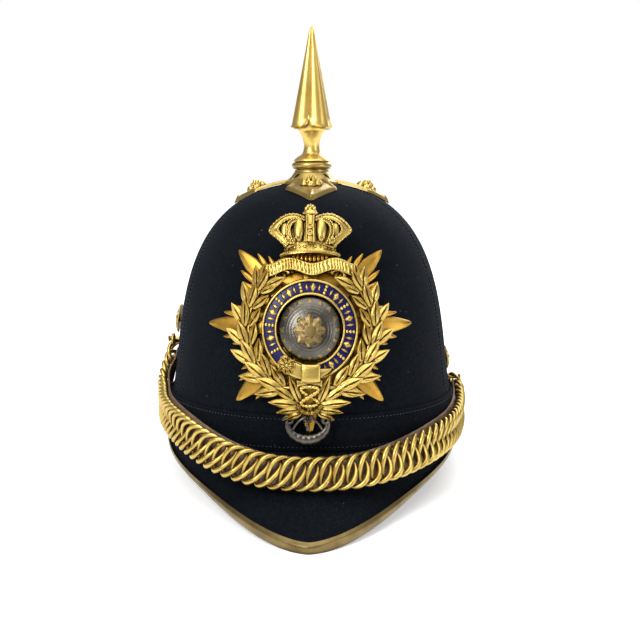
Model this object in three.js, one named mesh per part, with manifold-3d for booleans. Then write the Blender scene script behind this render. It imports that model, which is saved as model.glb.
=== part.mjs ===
// Officer's home service helmet: cloth-covered cork body, peaks with bound edges, gilt spike and
// cross-piece, star plate with crown and wreath, and a curb chin chain on leather.
// Millimetres, +Z up, the front towards -Y, standing on z = 0.
import * as THREE from "three";
import { mergeVertices } from "three/addons/utils/BufferGeometryUtils.js";
import Module from "manifold-3d";

const wasm = await Module();
wasm.setup();

// ---- Driving dimensions ----
const gap = 0.3; // between pieces that touch
const shell = {
  halfWidth: 85.5, halfLength: 115, roundness: 2.15, // oval at the band
  top: 171.8, wall: 4, taper: 0.125, around: 32,
};
const band = { top: 48.3, height: 19, frontRise: 6.5, thickness: 1.2 };
const peak = {
  thickness: 3, seam: 80, // degrees from the front to the side seam
  earOut: 1.6, earHeight: 18.5, restHeight: 3.2,
  frontOut: 49, frontSpread: 19.3, backOut: 49, backSpread: 55,
  rootReach: 0.21, rootDrop: 0.525,
};
const binding = { wide: 4.8, lip: 0.9, proud: 1.7, slack: 0.67 };
const backBar = { width: 6.4, height: 1.9 };
const cross = {
  start: 8, thickness: 1.6, collarFoot: 16,
  longArm: { reach: 58.5, halfWidth: 15, corner: 37 }, // to the front and back
  sideArm: { reach: 47.5, halfWidth: 14, corner: 34 },
};
const armRose = { radius: 6.9, height: 5.2, petals: 6, along: 33.5 };
const finial = {
  ringRadius: 12.1, ringTube: 2.1, ringZ: 182,
  footRadius: 10.8, neckRadius: 4.75, neckZ: 194.5,
  skirtRadius: 13.3, skirtZ: 203.8, tipZ: 265, scallop: 3.2, turn: -11, // degrees that the flutes are turned
};
const plate = {
  centreZ: 99, bottomZ: 42, height: 119, bottomY: 119, lean: 8.8, leanBack: 31, sideRadius: 82,
  starRadius: 54, starHole: 12, starFront: 2, seat: 2.5,
};
const post = { radius: 1.6, places: [[-34, 0], [34, 0], [0, 33]] };
const belt = { outer: 25, inner: 17.4, enamelOuter: 23.4, enamelInner: 19, height: 3, bed: 1.2 };
const buckle = {
  frame: { size: [12, 1.8, 7], turn: 28, at: [-11, 0.9, -19.5] },
  prong: { size: [10, 1.4, 1.6], turn: 14, at: [-6, 1.3, -20.6] },
  keeper: { size: [9.5, 2.4, 7.6], turn: 0, at: [1, 1.2, -21.2] },
};
const boss = { radius: 15.6, height: 6 };
const wreath = {
  radius: 32, height: 2.4, rows: 6, first: 158, last: 54, // degrees round from the top
  outerLeaf: { length: 7.4, width: 3, splay: 40 },
  innerLeaf: { length: 6.4, width: 2.6, splay: -30 },
};
const crownSize = { foot: 15.4, wide: 21.5, footZ: 36.5, wideZ: 48.5, topZ: 55.5, finialZ: 62, depth: 8 };
const crownArch = { halfWidth: 1.3, under: 1.2, over: 0.9, turns: [-86, -42, 0, 42, 86] };
const scroll = { halfLength: 23, halfHeight: 3, up: 31.2, wave: 1.4, waves: 1.5 };
const tie = { loop: 4, wire: 1.3, apart: 3.4, up: -34.5 };
const swag = { middle: -1, radius: 8.8, up: -46.5, stretch: 1.15, thin: 0.8, thick: 2.4, curl: 3.2 };
const chain = { pitch: 6.8, halfHeight: 7.8, halfDepth: 2.7, waist: 0.8, slant: 2.4, ringWire: 1 };
const leather = { width: 16.8, thickness: 1.3, behind: 3.1, raised: 0.9 };
const rose = { height: 3.4, stand: 2.2 };
const ears = {
  right: { z: 87, y: 2, radius: 9.6, pinZ: 74.6, pinY: 0, ring: 3.6 },
  left: { z: 60.5, y: 12, radius: 8.2, pinZ: 51.6, pinY: -6, ring: 5.4 },
};
const pin = { radius: 1.2, reach: 7.2, head: 1.9, ringAt: 5.2 };

// ---- Materials ----
const finish = (color, roughness, metalness) =>
  new THREE.MeshStandardMaterial({ color, roughness, metalness });
const cloth = finish(0x15191d, 0.95, 0);
const gilt = finish(0xc79a3c, 0.3, 1);
const oldGilt = finish(0x7d6a3e, 0.45, 1);
const silver = finish(0x8a867c, 0.4, 1);
const enamel = finish(0x1c1e63, 0.25, 0);
const hide = finish(0x806450, 0.7, 0);
const patent = finish(0x101010, 0.3, 0);

// ---- Solids ----
const radians = THREE.MathUtils.degToRad;
const clamp = THREE.MathUtils.clamp;
const helmet = new THREE.Group();

// A closed geometry as a manifold-3d solid with its faces outwards.
function solidOf(geometry) {
  const bare = geometry.index ? geometry.toNonIndexed() : geometry.clone();
  bare.deleteAttribute("normal");
  bare.deleteAttribute("uv");
  const welded = mergeVertices(bare, 1e-3);
  const index = welded.index.array;
  const faces = [];
  for (let i = 0; i < index.length; i += 3) {
    const [a, b, c] = index.slice(i, i + 3);
    if (a !== b && b !== c && c !== a) faces.push([a, b, c]);
  }
  const vertProperties = welded.attributes.position.array;
  const build = (list) =>
    new wasm.Manifold(new wasm.Mesh({ numProp: 3, vertProperties, triVerts: Uint32Array.from(list.flat()) }));
  const made = build(faces);
  return made.volume() < 0 ? build(faces.map(([a, b, c]) => [a, c, b])) : made;
}

function geometryOf(solid) {
  const mesh = solid.getMesh();
  const indexed = new THREE.BufferGeometry();
  indexed.setAttribute("position", new THREE.BufferAttribute(mesh.vertProperties, 3));
  indexed.setIndex(new THREE.BufferAttribute(mesh.triVerts, 1));
  const flat = indexed.toNonIndexed();
  flat.computeVertexNormals();
  return flat;
}

const fuse = (solids) => solids.reduce((sum, next) => sum.add(next));

// Every vertex of a geometry put where place(vertex) says.
function shaped(geometry, place) {
  const spots = geometry.attributes.position;
  const spot = new THREE.Vector3();
  for (let i = 0; i < spots.count; i++) {
    spots.setXYZ(i, ...place(spot.fromBufferAttribute(spots, i)).toArray());
  }
  return geometry;
}

// A bar of one section, [x, y] corners, run in steps along u = 0..1 and put by place(u, x, y).
function bar(section, steps, place) {
  const outline = new THREE.Shape(section.map(([x, y]) => new THREE.Vector2(x, y)));
  const straight = new THREE.ExtrudeGeometry(outline, { depth: 1, steps, bevelEnabled: false });
  return solidOf(shaped(straight, (p) => place(p.z, p.x, p.y)));
}

// A turned solid from a closed [radius, height] profile, put by place(angle, radius, height).
function turned(profile, around, place) {
  const points = profile.map(([r, h]) => new THREE.Vector2(r, h));
  const lathe = new THREE.LatheGeometry(points, around);
  return solidOf(shaped(lathe, (p) => place(Math.atan2(p.x, p.z), Math.hypot(p.x, p.z), p.y)));
}

function add(name, solid, material) {
  const mesh = new THREE.Mesh(geometryOf(solid), material);
  mesh.name = name;
  helmet.add(mesh);
}

// ---- Form of the body: angle 0 is the front, 90 degrees the wearer's left ear (+X) ----
const spot = (angle, r, z) => new THREE.Vector3(r * Math.sin(angle), -r * Math.cos(angle), z);

function ovalRadius(angle) {
  const across = Math.abs(Math.sin(angle)) / shell.halfWidth;
  const along = Math.abs(Math.cos(angle)) / shell.halfLength;
  return (across ** shell.roundness + along ** shell.roundness) ** (-1 / shell.roundness);
}
// The level way off the oval at a point beside it.
const offOval = ({ x, y }) =>
  new THREE.Vector3(x / shell.halfWidth ** 2, y / shell.halfLength ** 2, 0).normalize();

const bandRise = (angle) => band.frontRise * Math.max(0, Math.cos(angle)) ** 1.5;
const bandTop = (angle) => band.top + bandRise(angle);
const bandFoot = (angle) => bandTop(angle) - band.height;
const domeShare = (h) => (1 - shell.taper * h ** 0.72) * (1 - h ** 3.5) ** 0.42;

// Point of the dome at h = 0 at the band's top edge to 1 at the crown, lifted off the cloth.
function domePoint(angle, h, lift = 0) {
  const r = ovalRadius(angle) * domeShare(h);
  const z = bandTop(angle) + (shell.top - bandTop(angle)) * h;
  const step = 1e-3;
  const low = Math.max(0, h - step);
  const high = Math.min(1, h + step);
  const out = (shell.top - bandTop(angle)) * (high - low);
  const up = -ovalRadius(angle) * (domeShare(high) - domeShare(low));
  const size = Math.hypot(out, up);
  return spot(angle, r + (lift * out) / size, z + (lift * up) / size);
}

// Height of the dome over a point of the plan.
function domeHeight(x, y) {
  const angle = Math.atan2(x, -y);
  const share = Math.hypot(x, y) / ovalRadius(angle);
  let low = 0.3;
  let high = 1;
  for (let i = 0; i < 30; i++) {
    const middle = (low + high) / 2;
    if (domeShare(middle) > share) low = middle;
    else high = middle;
  }
  return bandTop(angle) + (shell.top - bandTop(angle)) * low;
}

// The peaks' rim: how far it stands out of the oval and how high it lies.
function rimOut(angle) {
  const fromFront = THREE.MathUtils.radToDeg(Math.abs(Math.atan2(Math.sin(angle), Math.cos(angle))));
  const front = peak.frontOut * Math.exp(-((fromFront / peak.frontSpread) ** 1.5));
  const back = peak.backOut * Math.exp(-(((180 - fromFront) / peak.backSpread) ** 2.2));
  return peak.earOut + front + back;
}
function rimHeight(angle) {
  const r = ovalRadius(angle) + rimOut(angle);
  const reach = shell.halfLength + peak.earOut + (Math.cos(angle) > 0 ? peak.frontOut : peak.backOut);
  const share = (Math.abs(Math.cos(angle)) * r) / reach;
  const power = Math.cos(angle) > 0 ? 1.6 : 1.8;
  return peak.earHeight + (peak.restHeight - peak.earHeight) * share ** power;
}

// Profile of a peak's upper face at an angle, from its root under the band to its rim.
function peakCurve(angle) {
  const root = new THREE.Vector2(ovalRadius(angle), bandFoot(angle) - gap);
  const rim = new THREE.Vector2(root.x + rimOut(angle), rimHeight(angle));
  const bend = new THREE.Vector2(
    root.x + peak.rootReach * rimOut(angle),
    root.y - peak.rootDrop * (root.y - rim.y),
  );
  return new THREE.QuadraticBezierCurve(root, bend, rim);
}
// Shares of that profile at its rows: the last two are the binding's inner edge and the rim.
const peakRows = (angle) => {
  const edge = 1 - binding.wide / peakCurve(angle).getLength();
  return [0, 0.33 * edge, 0.66 * edge, edge, 1];
};
// Point of a peak's upper face at a row, lifted off the face and moved past it.
function peakPoint(angle, row, lift = 0, past = 0) {
  const curve = peakCurve(angle);
  const t = peakRows(angle)[row];
  const point = curve.getPoint(t);
  const along = curve.getTangent(t);
  return spot(angle, point.x + along.x * past - along.y * lift, point.y + along.y * past + along.x * lift);
}

const onOval = (angle, r, z) => {
  const h = clamp((z - band.top) / (shell.top - band.top), 0, 1);
  return spot(angle, (r * ovalRadius(angle)) / shell.halfWidth, z + bandRise(angle) * (1 - h));
};

// ---- Shell, band and peaks ----
const domeRows = [0, 0.22, 0.42, 0.6, 0.75, 0.86, 0.94, 0.985];

// The shell in two solids, a wall and the dome over it, which meet on one row all round.
function buildShell() {
  const foot = band.top - band.height;
  const rise = shell.top - band.top;
  const join = 2; // row of the dome where they meet
  const outside = domeRows.map((h) => [shell.halfWidth * domeShare(h), band.top + rise * h]);
  const insideAt = (h) => [(shell.halfWidth - shell.wall) * domeShare(h), band.top + (rise - shell.wall) * h];
  const lifted = ([r, z]) => [r, z + gap];
  const wall = [
    [shell.halfWidth, foot],
    [shell.halfWidth - shell.wall, foot],
    insideAt(0),
    insideAt(domeRows[join]),
    ...outside.slice(0, join + 1).reverse(),
    [shell.halfWidth, foot],
  ];
  const dome = [
    [0, shell.top],
    ...outside.slice(join + 1).reverse(),
    lifted(outside[join]),
    lifted(insideAt(domeRows[join])),
    insideAt(domeRows[4]),
    insideAt(domeRows[6]),
    [0, shell.top - shell.wall],
  ];
  add("helmet_shell", turned(wall, shell.around, onOval), cloth);
  add("shell_dome", turned(dome, shell.around, onOval), cloth);
}

function buildBand() {
  const inner = gap;
  const outer = gap + band.thickness;
  const profile = [[0, inner], [0, outer], [1, outer], [1, inner], [0, inner]];
  const lathe = profile.map(([share, out]) => [shell.halfWidth + out, band.top - band.height * (1 - share)]);
  const solid = turned(lathe, shell.around, (angle, r, z) =>
    spot(angle, ovalRadius(angle) + r - shell.halfWidth, z + bandRise(angle)),
  );
  add("hat_band", solid, cloth);
}

// Angles of a peak's run, closer together towards its middle.
const frontRun = (u) => Math.sign(u - 0.5) * Math.abs(2 * u - 1) ** 1.35 * radians(peak.seam);
const backRun = (u) => Math.PI + (2 * u - 1) * radians(180 - peak.seam);
const seamGap = radians(0.15);
const inset = (run) => (u) => run(u) + (1 - 2 * u) * seamGap;

function buildPeak(name, run, steps) {
  const section = [[0, 0], [1, 0], [2, 0], [3, 0], [4, 0], [4, -1], [3, -1], [2, -1], [0, -1]];
  const place = (u, row, side) => peakPoint(run(u), row, side * peak.thickness);
  add(name, bar(section, steps, place), cloth);
}

// A folded metal or leather edge over a peak's rim, flat where it stands on the floor.
function buildBinding(name, run, steps, material) {
  const { lip, proud, slack } = binding;
  const under = -peak.thickness - slack;
  const section = [
    [-1, slack], [-1, slack + lip], [0.8, slack + lip], [proud, -peak.thickness / 2],
    [0.8, under - lip], [-1, under - lip], [-1, under], [slack, under], [slack, slack],
  ];
  const folded = bar(section, steps, (u, past, lift) =>
    past < 0 ? peakPoint(run(u), 3, lift) : peakPoint(run(u), 4, lift, past),
  );
  const floor = solidOf(new THREE.BoxGeometry(500, 500, 20).translate(0, 0, -10));
  add(name, folded.subtract(floor), material);
}

// The convex bar down the middle of the back, over the band to the binding.
function buildBackBar() {
  const overBand = band.thickness + 2 * gap;
  const overCloth = gap + 0.2;
  const onBand = (lift, z) => spot(Math.PI, ovalRadius(Math.PI) + overBand + lift, z);
  const rows = [
    ...[0.906, 0.84, 0.74, 0.6, 0.42, 0.22].map((h) => (lift) => domePoint(Math.PI, h, lift + overCloth)),
    (lift) => domePoint(Math.PI, 0.05, lift + overBand),
    (lift) => onBand(lift, bandTop(Math.PI)),
    (lift) => onBand(lift, bandFoot(Math.PI)),
    ...[1, 2].map((row) => (lift) => peakPoint(Math.PI, row, lift + overCloth)),
    (lift) => peakPoint(Math.PI, 3, lift + overCloth, -2 * gap),
  ];
  const half = backBar.width / 2;
  const high = backBar.height;
  const section = [[-half, 0], [half, 0], [0.7 * half, 0.7 * high], [0, high], [-0.7 * half, 0.7 * high]];
  const solid = bar(section, rows.length - 1, (u, x, lift) => {
    const point = rows[Math.round(u * (rows.length - 1))](lift);
    point.x += x;
    return point;
  });
  add("back_bar", solid, gilt);
}

// ---- Cross-piece, collar, ring and spike ----
function crossArm(angle, { reach, halfWidth, corner }) {
  const section = [[-1, 0], [0, 0], [1, 0], [0.8, 0.9], [0, 1.35], [-0.8, 0.9]];
  const rootWidth = 0.55; // share of the arm's width at the collar
  return bar(section, 6, (u, x, share) => {
    const before = u < 0.5;
    const part = before ? 2 * u : 2 * u - 1;
    const along = before ? cross.start + (corner - cross.start) * part : corner + (reach - corner) * part;
    const width = before ? rootWidth + (1 - rootWidth) * part : (1 - part) ** 0.9;
    const across = x * Math.max(0.5, halfWidth * width);
    const px = along * Math.sin(angle) + across * Math.cos(angle);
    const py = -along * Math.cos(angle) + across * Math.sin(angle);
    return new THREE.Vector3(px, py, domeHeight(px, py) + 2 * gap + share * cross.thickness);
  });
}

function buildCross() {
  const foot = shell.top + gap;
  const top = finial.ringZ - finial.ringTube - gap;
  const collar = turned(
    [
      [0, foot], [cross.collarFoot, foot - 0.9], [cross.collarFoot, foot + 0.6], [14.3, foot + 1.3],
      [12.3, foot + 3], [10.7, foot + 5.4], [10.1, top], [0, top],
    ],
    20,
    spot,
  );
  const shapes = [cross.longArm, cross.sideArm, cross.longArm, cross.sideArm];
  const arms = shapes.map((shape, i) => crossArm(radians(90 * i), shape));
  add("cross_base", fuse([collar, ...arms]), gilt);
}

// A small rose of leaves with a raised eye, standing on an arm or on the collar.
function roseSolid(radius, height, petals) {
  const profile = [
    [0, 0], [radius * 0.92, 0], [radius, height * 0.4], [radius * 0.6, height * 0.75], [0, height],
  ];
  return turned(profile, petals * 2, (angle, r, h) => {
    const wave = r > radius * 0.6 ? 1 + 0.09 * Math.cos(petals * angle) : 1;
    return new THREE.Vector3(r * wave * Math.sin(angle), -r * wave * Math.cos(angle), h);
  });
}

function placedRose(name, size, turn, at, material = gilt) {
  const matrix = new THREE.Matrix4().makeRotationFromEuler(turn).setPosition(at);
  const rosette = roseSolid(size.radius, size.height, size.petals);
  add(name, solidOf(geometryOf(rosette).applyMatrix4(matrix)), material);
}

function buildArmRoses() {
  const { along } = armRose;
  const half = 4; // the arm's slope is taken over this much each way
  const armTop = 2 * gap + 1.35 * cross.thickness;
  const ways = { front: [0, -1], left: [1, 0], back: [0, 1], right: [-1, 0] };
  for (const [way, [x, y]] of Object.entries(ways)) {
    const inner = domeHeight(x * (along - half), y * (along - half));
    const outer = domeHeight(x * (along + half), y * (along + half));
    const tilt = Math.atan2(inner - outer, 2 * half);
    const lift = (armTop + gap + 0.1) / Math.cos(tilt);
    const at = new THREE.Vector3(x * along, y * along, (inner + outer) / 2 + lift);
    placedRose("arm_rose_" + way, armRose, new THREE.Euler(-y * tilt, x * tilt, 0), at);
  }
}

function buildRing() {
  const { ringRadius, ringTube, ringZ } = finial;
  const outer = ringRadius - ringTube;
  const profile = [[0, ringZ - ringTube]];
  for (let i = 0; i <= 4; i++) {
    const turn = -Math.PI / 2 + (Math.PI * i) / 4;
    profile.push([outer + ringTube * Math.cos(turn), ringZ + ringTube * Math.sin(turn)]);
  }
  profile.push([0, ringZ + ringTube]);
  add("spike_ring", turned(profile, 20, spot), gilt);
}

function buildSpike() {
  const foot = finial.ringZ + finial.ringTube + gap;
  const { footRadius, neckRadius, neckZ, skirtRadius, skirtZ, tipZ } = finial;
  const profile = [
    [0, foot], [footRadius, foot], [footRadius - 0.3, foot + 1], [0.77 * footRadius, foot + 3],
    [0.52 * footRadius, foot + 4.9], [neckRadius, neckZ], [5.5, skirtZ - 5.5], [7.9, skirtZ - 0.9],
    [skirtRadius - 0.3, skirtZ - 0.5], [skirtRadius, skirtZ + 1.4], [skirtRadius / 2, skirtZ + 35.2],
    [0.14 * skirtRadius, tipZ - 3], [0, tipZ],
  ];
  const solid = turned(profile, 16, (angle, r, z) => {
    const fluted = z > skirtZ - 0.8 && r > 1;
    const lobe = Math.abs(Math.sin(2 * angle));
    const onHem = z < skirtZ + 2 && r > 0.9 * skirtRadius;
    const raised = onHem ? finial.scallop * (1 - lobe) : 0;
    return spot(angle + radians(finial.turn), fluted ? r * (0.62 + 0.38 * lobe) : r, z + raised);
  });
  add("spike", solid, gilt);
}

// ---- Plate: x across, up from the star's centre, front = height over the plate's own face ----
const plateY = (z) => {
  const t = (z - plate.bottomZ) / plate.height;
  return -plate.bottomY + plate.lean * t + plate.leanBack * t * t;
};
function onPlate(x, up, front) {
  const z = plate.centreZ + up;
  return new THREE.Vector3(x, plateY(z) + (x * x) / (2 * plate.sideRadius) - front, z);
}
// A geometry drawn flat, x across, y forwards (negative) and z up, laid on the plate.
const laid = (geometry) => solidOf(shaped(geometry, (p) => onPlate(p.x, p.z, -p.y)));
const turnedOnPlate = (profile, around, rim = () => 1) =>
  turned(profile, around, (angle, r, h) => {
    const reach = r * rim(angle, r);
    return onPlate(reach * Math.sin(angle), reach * Math.cos(angle), h);
  });

// Everything behind the seat of the plate's upper ornaments.
const behindSeat = (() => {
  const [halfWide, deep, low, tall] = [50, 60, -62, 130];
  const [columns, rows] = [10, 14];
  const across = (i) => halfWide * ((2 * i) / columns - 1);
  const section = [];
  for (let i = 0; i <= columns; i++) section.push([across(i), -deep]);
  for (let i = columns; i >= 0; i--) section.push([across(i), plate.seat]);
  return bar(section, rows, (u, x, front) => onPlate(x, low + tall * u, front));
})();
const largest = (solid) => solid.decompose().sort((a, b) => b.volume() - a.volume())[0];
const seated = (solid) => largest(solid.subtract(behindSeat));
const aroundBelt = turnedOnPlate([[0, -9], [belt.outer + gap, -9], [belt.outer + gap, 20], [0, 20]], 28);

function buildStar() {
  const reach = [1, 0.84, 0.7, 0.76, 0.7, 0.84]; // one of eight sectors, point to point
  const sector = Math.PI / 4 / reach.length;
  const star = turnedOnPlate(
    [
      [plate.starHole, 0], [plate.starRadius * 0.75, 0], [plate.starRadius, 0],
      [plate.starRadius, 0.6], [plate.starRadius * 0.75, plate.starFront - 0.1],
      [plate.starHole, plate.starFront], [plate.starHole, 0],
    ],
    8 * reach.length,
    (angle, r) => {
      const turn = Math.round(angle / sector) + 8 * reach.length;
      const step = turn % reach.length;
      return r > plate.starRadius * 0.4 ? 1 - (1 - reach[step]) * (r / plate.starRadius) ** 1.5 : 1;
    },
  );
  const posts = post.places.map(([x, up]) => {
    const front = onPlate(x, up, 0.6);
    const r = Math.hypot(front.x, front.y);
    const angle = Math.atan2(front.x, -front.y);
    let h = 0;
    while (domePoint(angle, h).z < front.z) h += 0.002;
    const back = domePoint(angle, h, gap + 0.15);
    const depth = r - Math.hypot(back.x, back.y);
    const pillar = new THREE.CylinderGeometry(post.radius, post.radius, depth, 6).rotateX(Math.PI / 2);
    const mid = (r - depth / 2) / r;
    return solidOf(pillar.rotateZ(angle).translate(front.x * mid, front.y * mid, front.z));
  });
  add("star_plate", fuse([star, ...posts]), gilt);
}

function buildBelt() {
  const { outer, inner, enamelOuter, enamelInner, height } = belt;
  const low = plate.seat;
  const high = low + height;
  const bed = low + belt.bed;
  const rims = turnedOnPlate(
    [
      [inner, low], [outer, low], [outer, high - 0.4], [enamelOuter, high],
      [enamelOuter, bed], [enamelInner, bed], [enamelInner, high], [inner, high - 0.4], [inner, low],
    ],
    28,
  );
  add("belt_ring", rims, gilt);
  const fill = turnedOnPlate(
    [
      [enamelInner + gap, bed + gap], [enamelOuter - gap, bed + gap], [enamelOuter - gap, high - 0.8],
      [enamelInner + gap, high - 0.8], [enamelInner + gap, bed + gap],
    ],
    28,
  );
  add("enamel_band", fill, enamel);
  const dome = [[0, plate.seat]];
  for (let i = 0; i <= 4; i++) {
    const turn = (Math.PI / 2) * (i / 4);
    dome.push([boss.radius * Math.cos(turn), plate.seat + 0.8 + boss.height * Math.sin(turn)]);
  }
  add("boss", turnedOnPlate(dome, 20), silver);
}

// A block [wide, deep, tall], turned in the plate's face, its middle at [x, front, up].
function block(size, [x, front, up], turn = 0) {
  const box = new THREE.BoxGeometry(...size, 2, 1, 1).rotateY(radians(turn));
  return laid(box.translate(x, -front, up));
}

function buildBuckle() {
  const high = plate.seat + belt.height + gap;
  const parts = Object.values(buckle).map(({ size, turn, at: [x, front, up] }) =>
    block(size, [x, high + front, up], turn),
  );
  add("belt_buckle", fuse(parts), gilt);
}

// A pointed, ridged leaf that springs from a wreath's stem and points up along it, splayed outwards.
function leafOn(side, turn, { length, width, splay }) {
  const angle = radians(splay);
  const along = [-Math.cos(turn), Math.sin(turn)];
  const outwards = [Math.sin(turn), Math.cos(turn)];
  const [x, up] = [0, 1].map((i) => along[i] * Math.cos(angle) + outwards[i] * Math.sin(angle));
  const base = [wreath.radius * Math.sin(turn), wreath.radius * Math.cos(turn)];
  const lens = new THREE.OctahedronGeometry(1, 0).scale(width, wreath.height, length);
  lens.rotateY(side * Math.atan2(x, up));
  const reach = 0.85 * length;
  return laid(lens.translate(side * (base[0] + reach * x), -plate.seat - 0.8, base[1] + reach * up));
}

function buildWreath(name, side) {
  const { radius, rows, first, last, outerLeaf, innerLeaf } = wreath;
  const stemStart = first + 8;
  const stem = bar([[-1.1, 0], [0, 1.6], [1.1, 0], [0, -1.6]], 8, (u, across, front) => {
    const turn = radians(stemStart + (last - stemStart) * u);
    const r = radius + across;
    return onPlate(side * r * Math.sin(turn), r * Math.cos(turn), plate.seat + 0.9 + front);
  });
  const leaves = [];
  for (let i = 0; i < rows; i++) {
    const turn = radians(first + ((last - first) * i) / (rows - 1));
    leaves.push(leafOn(side, turn, outerLeaf));
    if (i < rows - 1) leaves.push(leafOn(side, turn - radians(9), innerLeaf));
  }
  add(name, seated(fuse([stem, ...leaves])).subtract(aroundBelt), gilt);
}

function buildCrown() {
  const { foot, wide, footZ, wideZ, topZ, finialZ, depth } = crownSize;
  const squash = depth / wide;
  const body = [
    [0, footZ], [foot, footZ], [foot + 1.2, footZ + 6.4], [foot - 0.8, footZ + 6.6],
    [wide - 2.6, wideZ], [wide - 5.4, topZ - 2.6], [0, topZ - 1.6],
  ];
  const cap = turned(body, 14, (angle, r, h) =>
    onPlate(r * Math.sin(angle), h, 2 + r * Math.cos(angle) * squash),
  );
  const outline = [
    [foot, footZ + 6], [wide - 0.4, wideZ - 1], [wide - 2, topZ - 2.6], [wide - 9, topZ], [0, topZ - 1.4],
  ];
  const path = new THREE.CatmullRomCurve3(outline.map(([r, h]) => new THREE.Vector3(r, 0, h)));
  const { halfWidth, under, over: rise, turns } = crownArch;
  const strap = [[-halfWidth, -under], [halfWidth, -under], [halfWidth, rise], [-halfWidth, rise]];
  const arches = turns.map((turn) =>
    bar(strap, 5, (u, across, over) => {
      const p = path.getPoint(u);
      const r = p.x + over;
      const swing = radians(turn) + across / Math.max(p.x, 4);
      return onPlate(r * Math.sin(swing), p.z + over * 0.6, 2 + r * Math.cos(swing) * squash);
    }),
  );
  const ball = laid(new THREE.OctahedronGeometry(2.9, 0).translate(0, -3.6, topZ));
  const lozenge = laid(new THREE.OctahedronGeometry(1, 0).scale(4, 1.6, 4.2).translate(0, -3.6, finialZ - 4));
  add("crown", seated(fuse([cap, ...arches, ball, lozenge])), gilt);
}

function buildScroll() {
  const { halfLength, halfHeight, up, wave, waves } = scroll;
  const edge = 0.9 * halfHeight;
  const section = [[-halfHeight, 0], [halfHeight, 0], [edge, 1.5], [0, 1.9], [-edge, 1.5]];
  const ribbon = bar(section, 14, (u, tall, front) => {
    const swing = wave * Math.cos(2 * Math.PI * u * waves + 0.6);
    return onPlate(halfLength * (2 * u - 1), up + swing + tall, plate.seat + front + 0.8);
  });
  add("scroll", ribbon, gilt);
}

// The ribbon tie at the wreath's foot, and the silver swag that hangs below it.
function buildTie() {
  const loops = [-1, 1].map((side) =>
    laid(
      new THREE.TorusGeometry(tie.loop, tie.wire, 4, 8)
        .rotateX(Math.PI / 2)
        .scale(1, 1, tie.wire)
        .translate(side * tie.apart, -4.2, tie.up),
    ),
  );
  const cuff = block([12.5, 2.2, 2.6], [0, 4, -28]);
  const drop = laid(new THREE.OctahedronGeometry(1, 0).scale(3.4, 2.2, 7.5).translate(0, -4.2, -36.5));
  add("wreath_tie", seated(fuse([...loops, cuff, drop])).subtract(aroundBelt), gilt);
}

function buildSwag() {
  const { middle, radius, up, stretch, thin, curl } = swag;
  const crescent = bar([[-1, 0], [0, 1], [1, 0], [0, -1]], 8, (u, across, front) => {
    const turn = Math.PI * (u * 1.1 - 0.05);
    const thick = thin + swag.thick * Math.sin(Math.PI * u);
    const r = radius + across * thick;
    const high = plate.seat + 1.2 + front * (1 + thick * 0.4);
    return onPlate(middle - r * stretch * Math.cos(turn), up - r * Math.sin(turn), high);
  });
  const curls = [-1, 1].map((side) =>
    laid(
      new THREE.OctahedronGeometry(curl, 0)
        .scale(1, 0.7, 1)
        .translate(middle + side * stretch * radius, -plate.seat - 0.8, up + 0.6),
    ),
  );
  const stud = block([2, 2.8, 4], [0, 2.4, 2.2 - plate.starRadius]);
  add("silver_swag", seated(fuse([crescent, ...curls])).add(stud), silver);
}

// ---- Chin chain on its leather ----
// From the right ear (-X) round the front to the left ear (+X): degrees from the front, height of the
// chain's middle, how far it stands out of the oval, and how far it leans back, in degrees.
const chainRoute = [
  { angle: -90, z: 70.5, out: 1.4, lean: 0 },
  { angle: -90, z: 62, out: 3.7, lean: 0 },
  { angle: -88, z: 54, out: 5.8, lean: 0 },
  { angle: -83, z: 47, out: 6.9, lean: 0 },
  { angle: -74, z: 42.8, out: 6.2, lean: 0 },
  { angle: -62, z: 41, out: 6.5, lean: 0 },
  { angle: -50, z: 40.2, out: 7.4, lean: 4 },
  { angle: -39, z: 38.8, out: 9.2, lean: 12 },
  { angle: -30, z: 36.2, out: 11.6, lean: 20 },
  { angle: -20, z: 32.6, out: 14.8, lean: 27 },
  { angle: -10, z: 29.7, out: 17.2, lean: 31 },
  { angle: 0, z: 28.8, out: 18.2, lean: 32 },
  { angle: 10, z: 29.4, out: 17.2, lean: 31 },
  { angle: 20, z: 31.4, out: 14.8, lean: 27 },
  { angle: 30, z: 33.6, out: 12, lean: 20 },
  { angle: 39, z: 34.8, out: 9.8, lean: 12 },
  { angle: 50, z: 35.2, out: 8, lean: 4 },
  { angle: 62, z: 35.6, out: 6.6, lean: 0 },
  { angle: 74, z: 36.6, out: 6.4, lean: 0 },
  { angle: 81, z: 39, out: 6.4, lean: 0 },
  { angle: 86, z: 43, out: 6.2, lean: 0 },
];
const routeCurve = new THREE.CatmullRomCurve3(
  chainRoute.map(({ angle, z, out }) => spot(radians(angle), ovalRadius(radians(angle)) + out, z)),
);
routeCurve.arcLengthDivisions = 800;

// Place on the chain's route at a share of its length: middle, along, outwards and upwards.
function routeFrame(share) {
  const t = routeCurve.getUtoTmapping(clamp(share, 0, 1));
  const row = t * (chainRoute.length - 1);
  const low = Math.min(Math.floor(row), chainRoute.length - 2);
  const leanAt = THREE.MathUtils.lerp(chainRoute[low].lean, chainRoute[low + 1].lean, row - low);
  const middle = routeCurve.getPoint(t);
  const along = routeCurve.getTangent(t);
  const outwards = offOval(middle);
  outwards.multiplyScalar(Math.cos(radians(leanAt))).setZ(Math.sin(radians(leanAt)));
  outwards.addScaledVector(along, -outwards.dot(along)).normalize();
  return { middle, along, outwards, upwards: outwards.clone().cross(along) };
}
const fromFrame = ({ middle, along, outwards, upwards }, x, y, z) =>
  middle.clone().addScaledVector(along, x).addScaledVector(upwards, y).addScaledVector(outwards, z);

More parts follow.
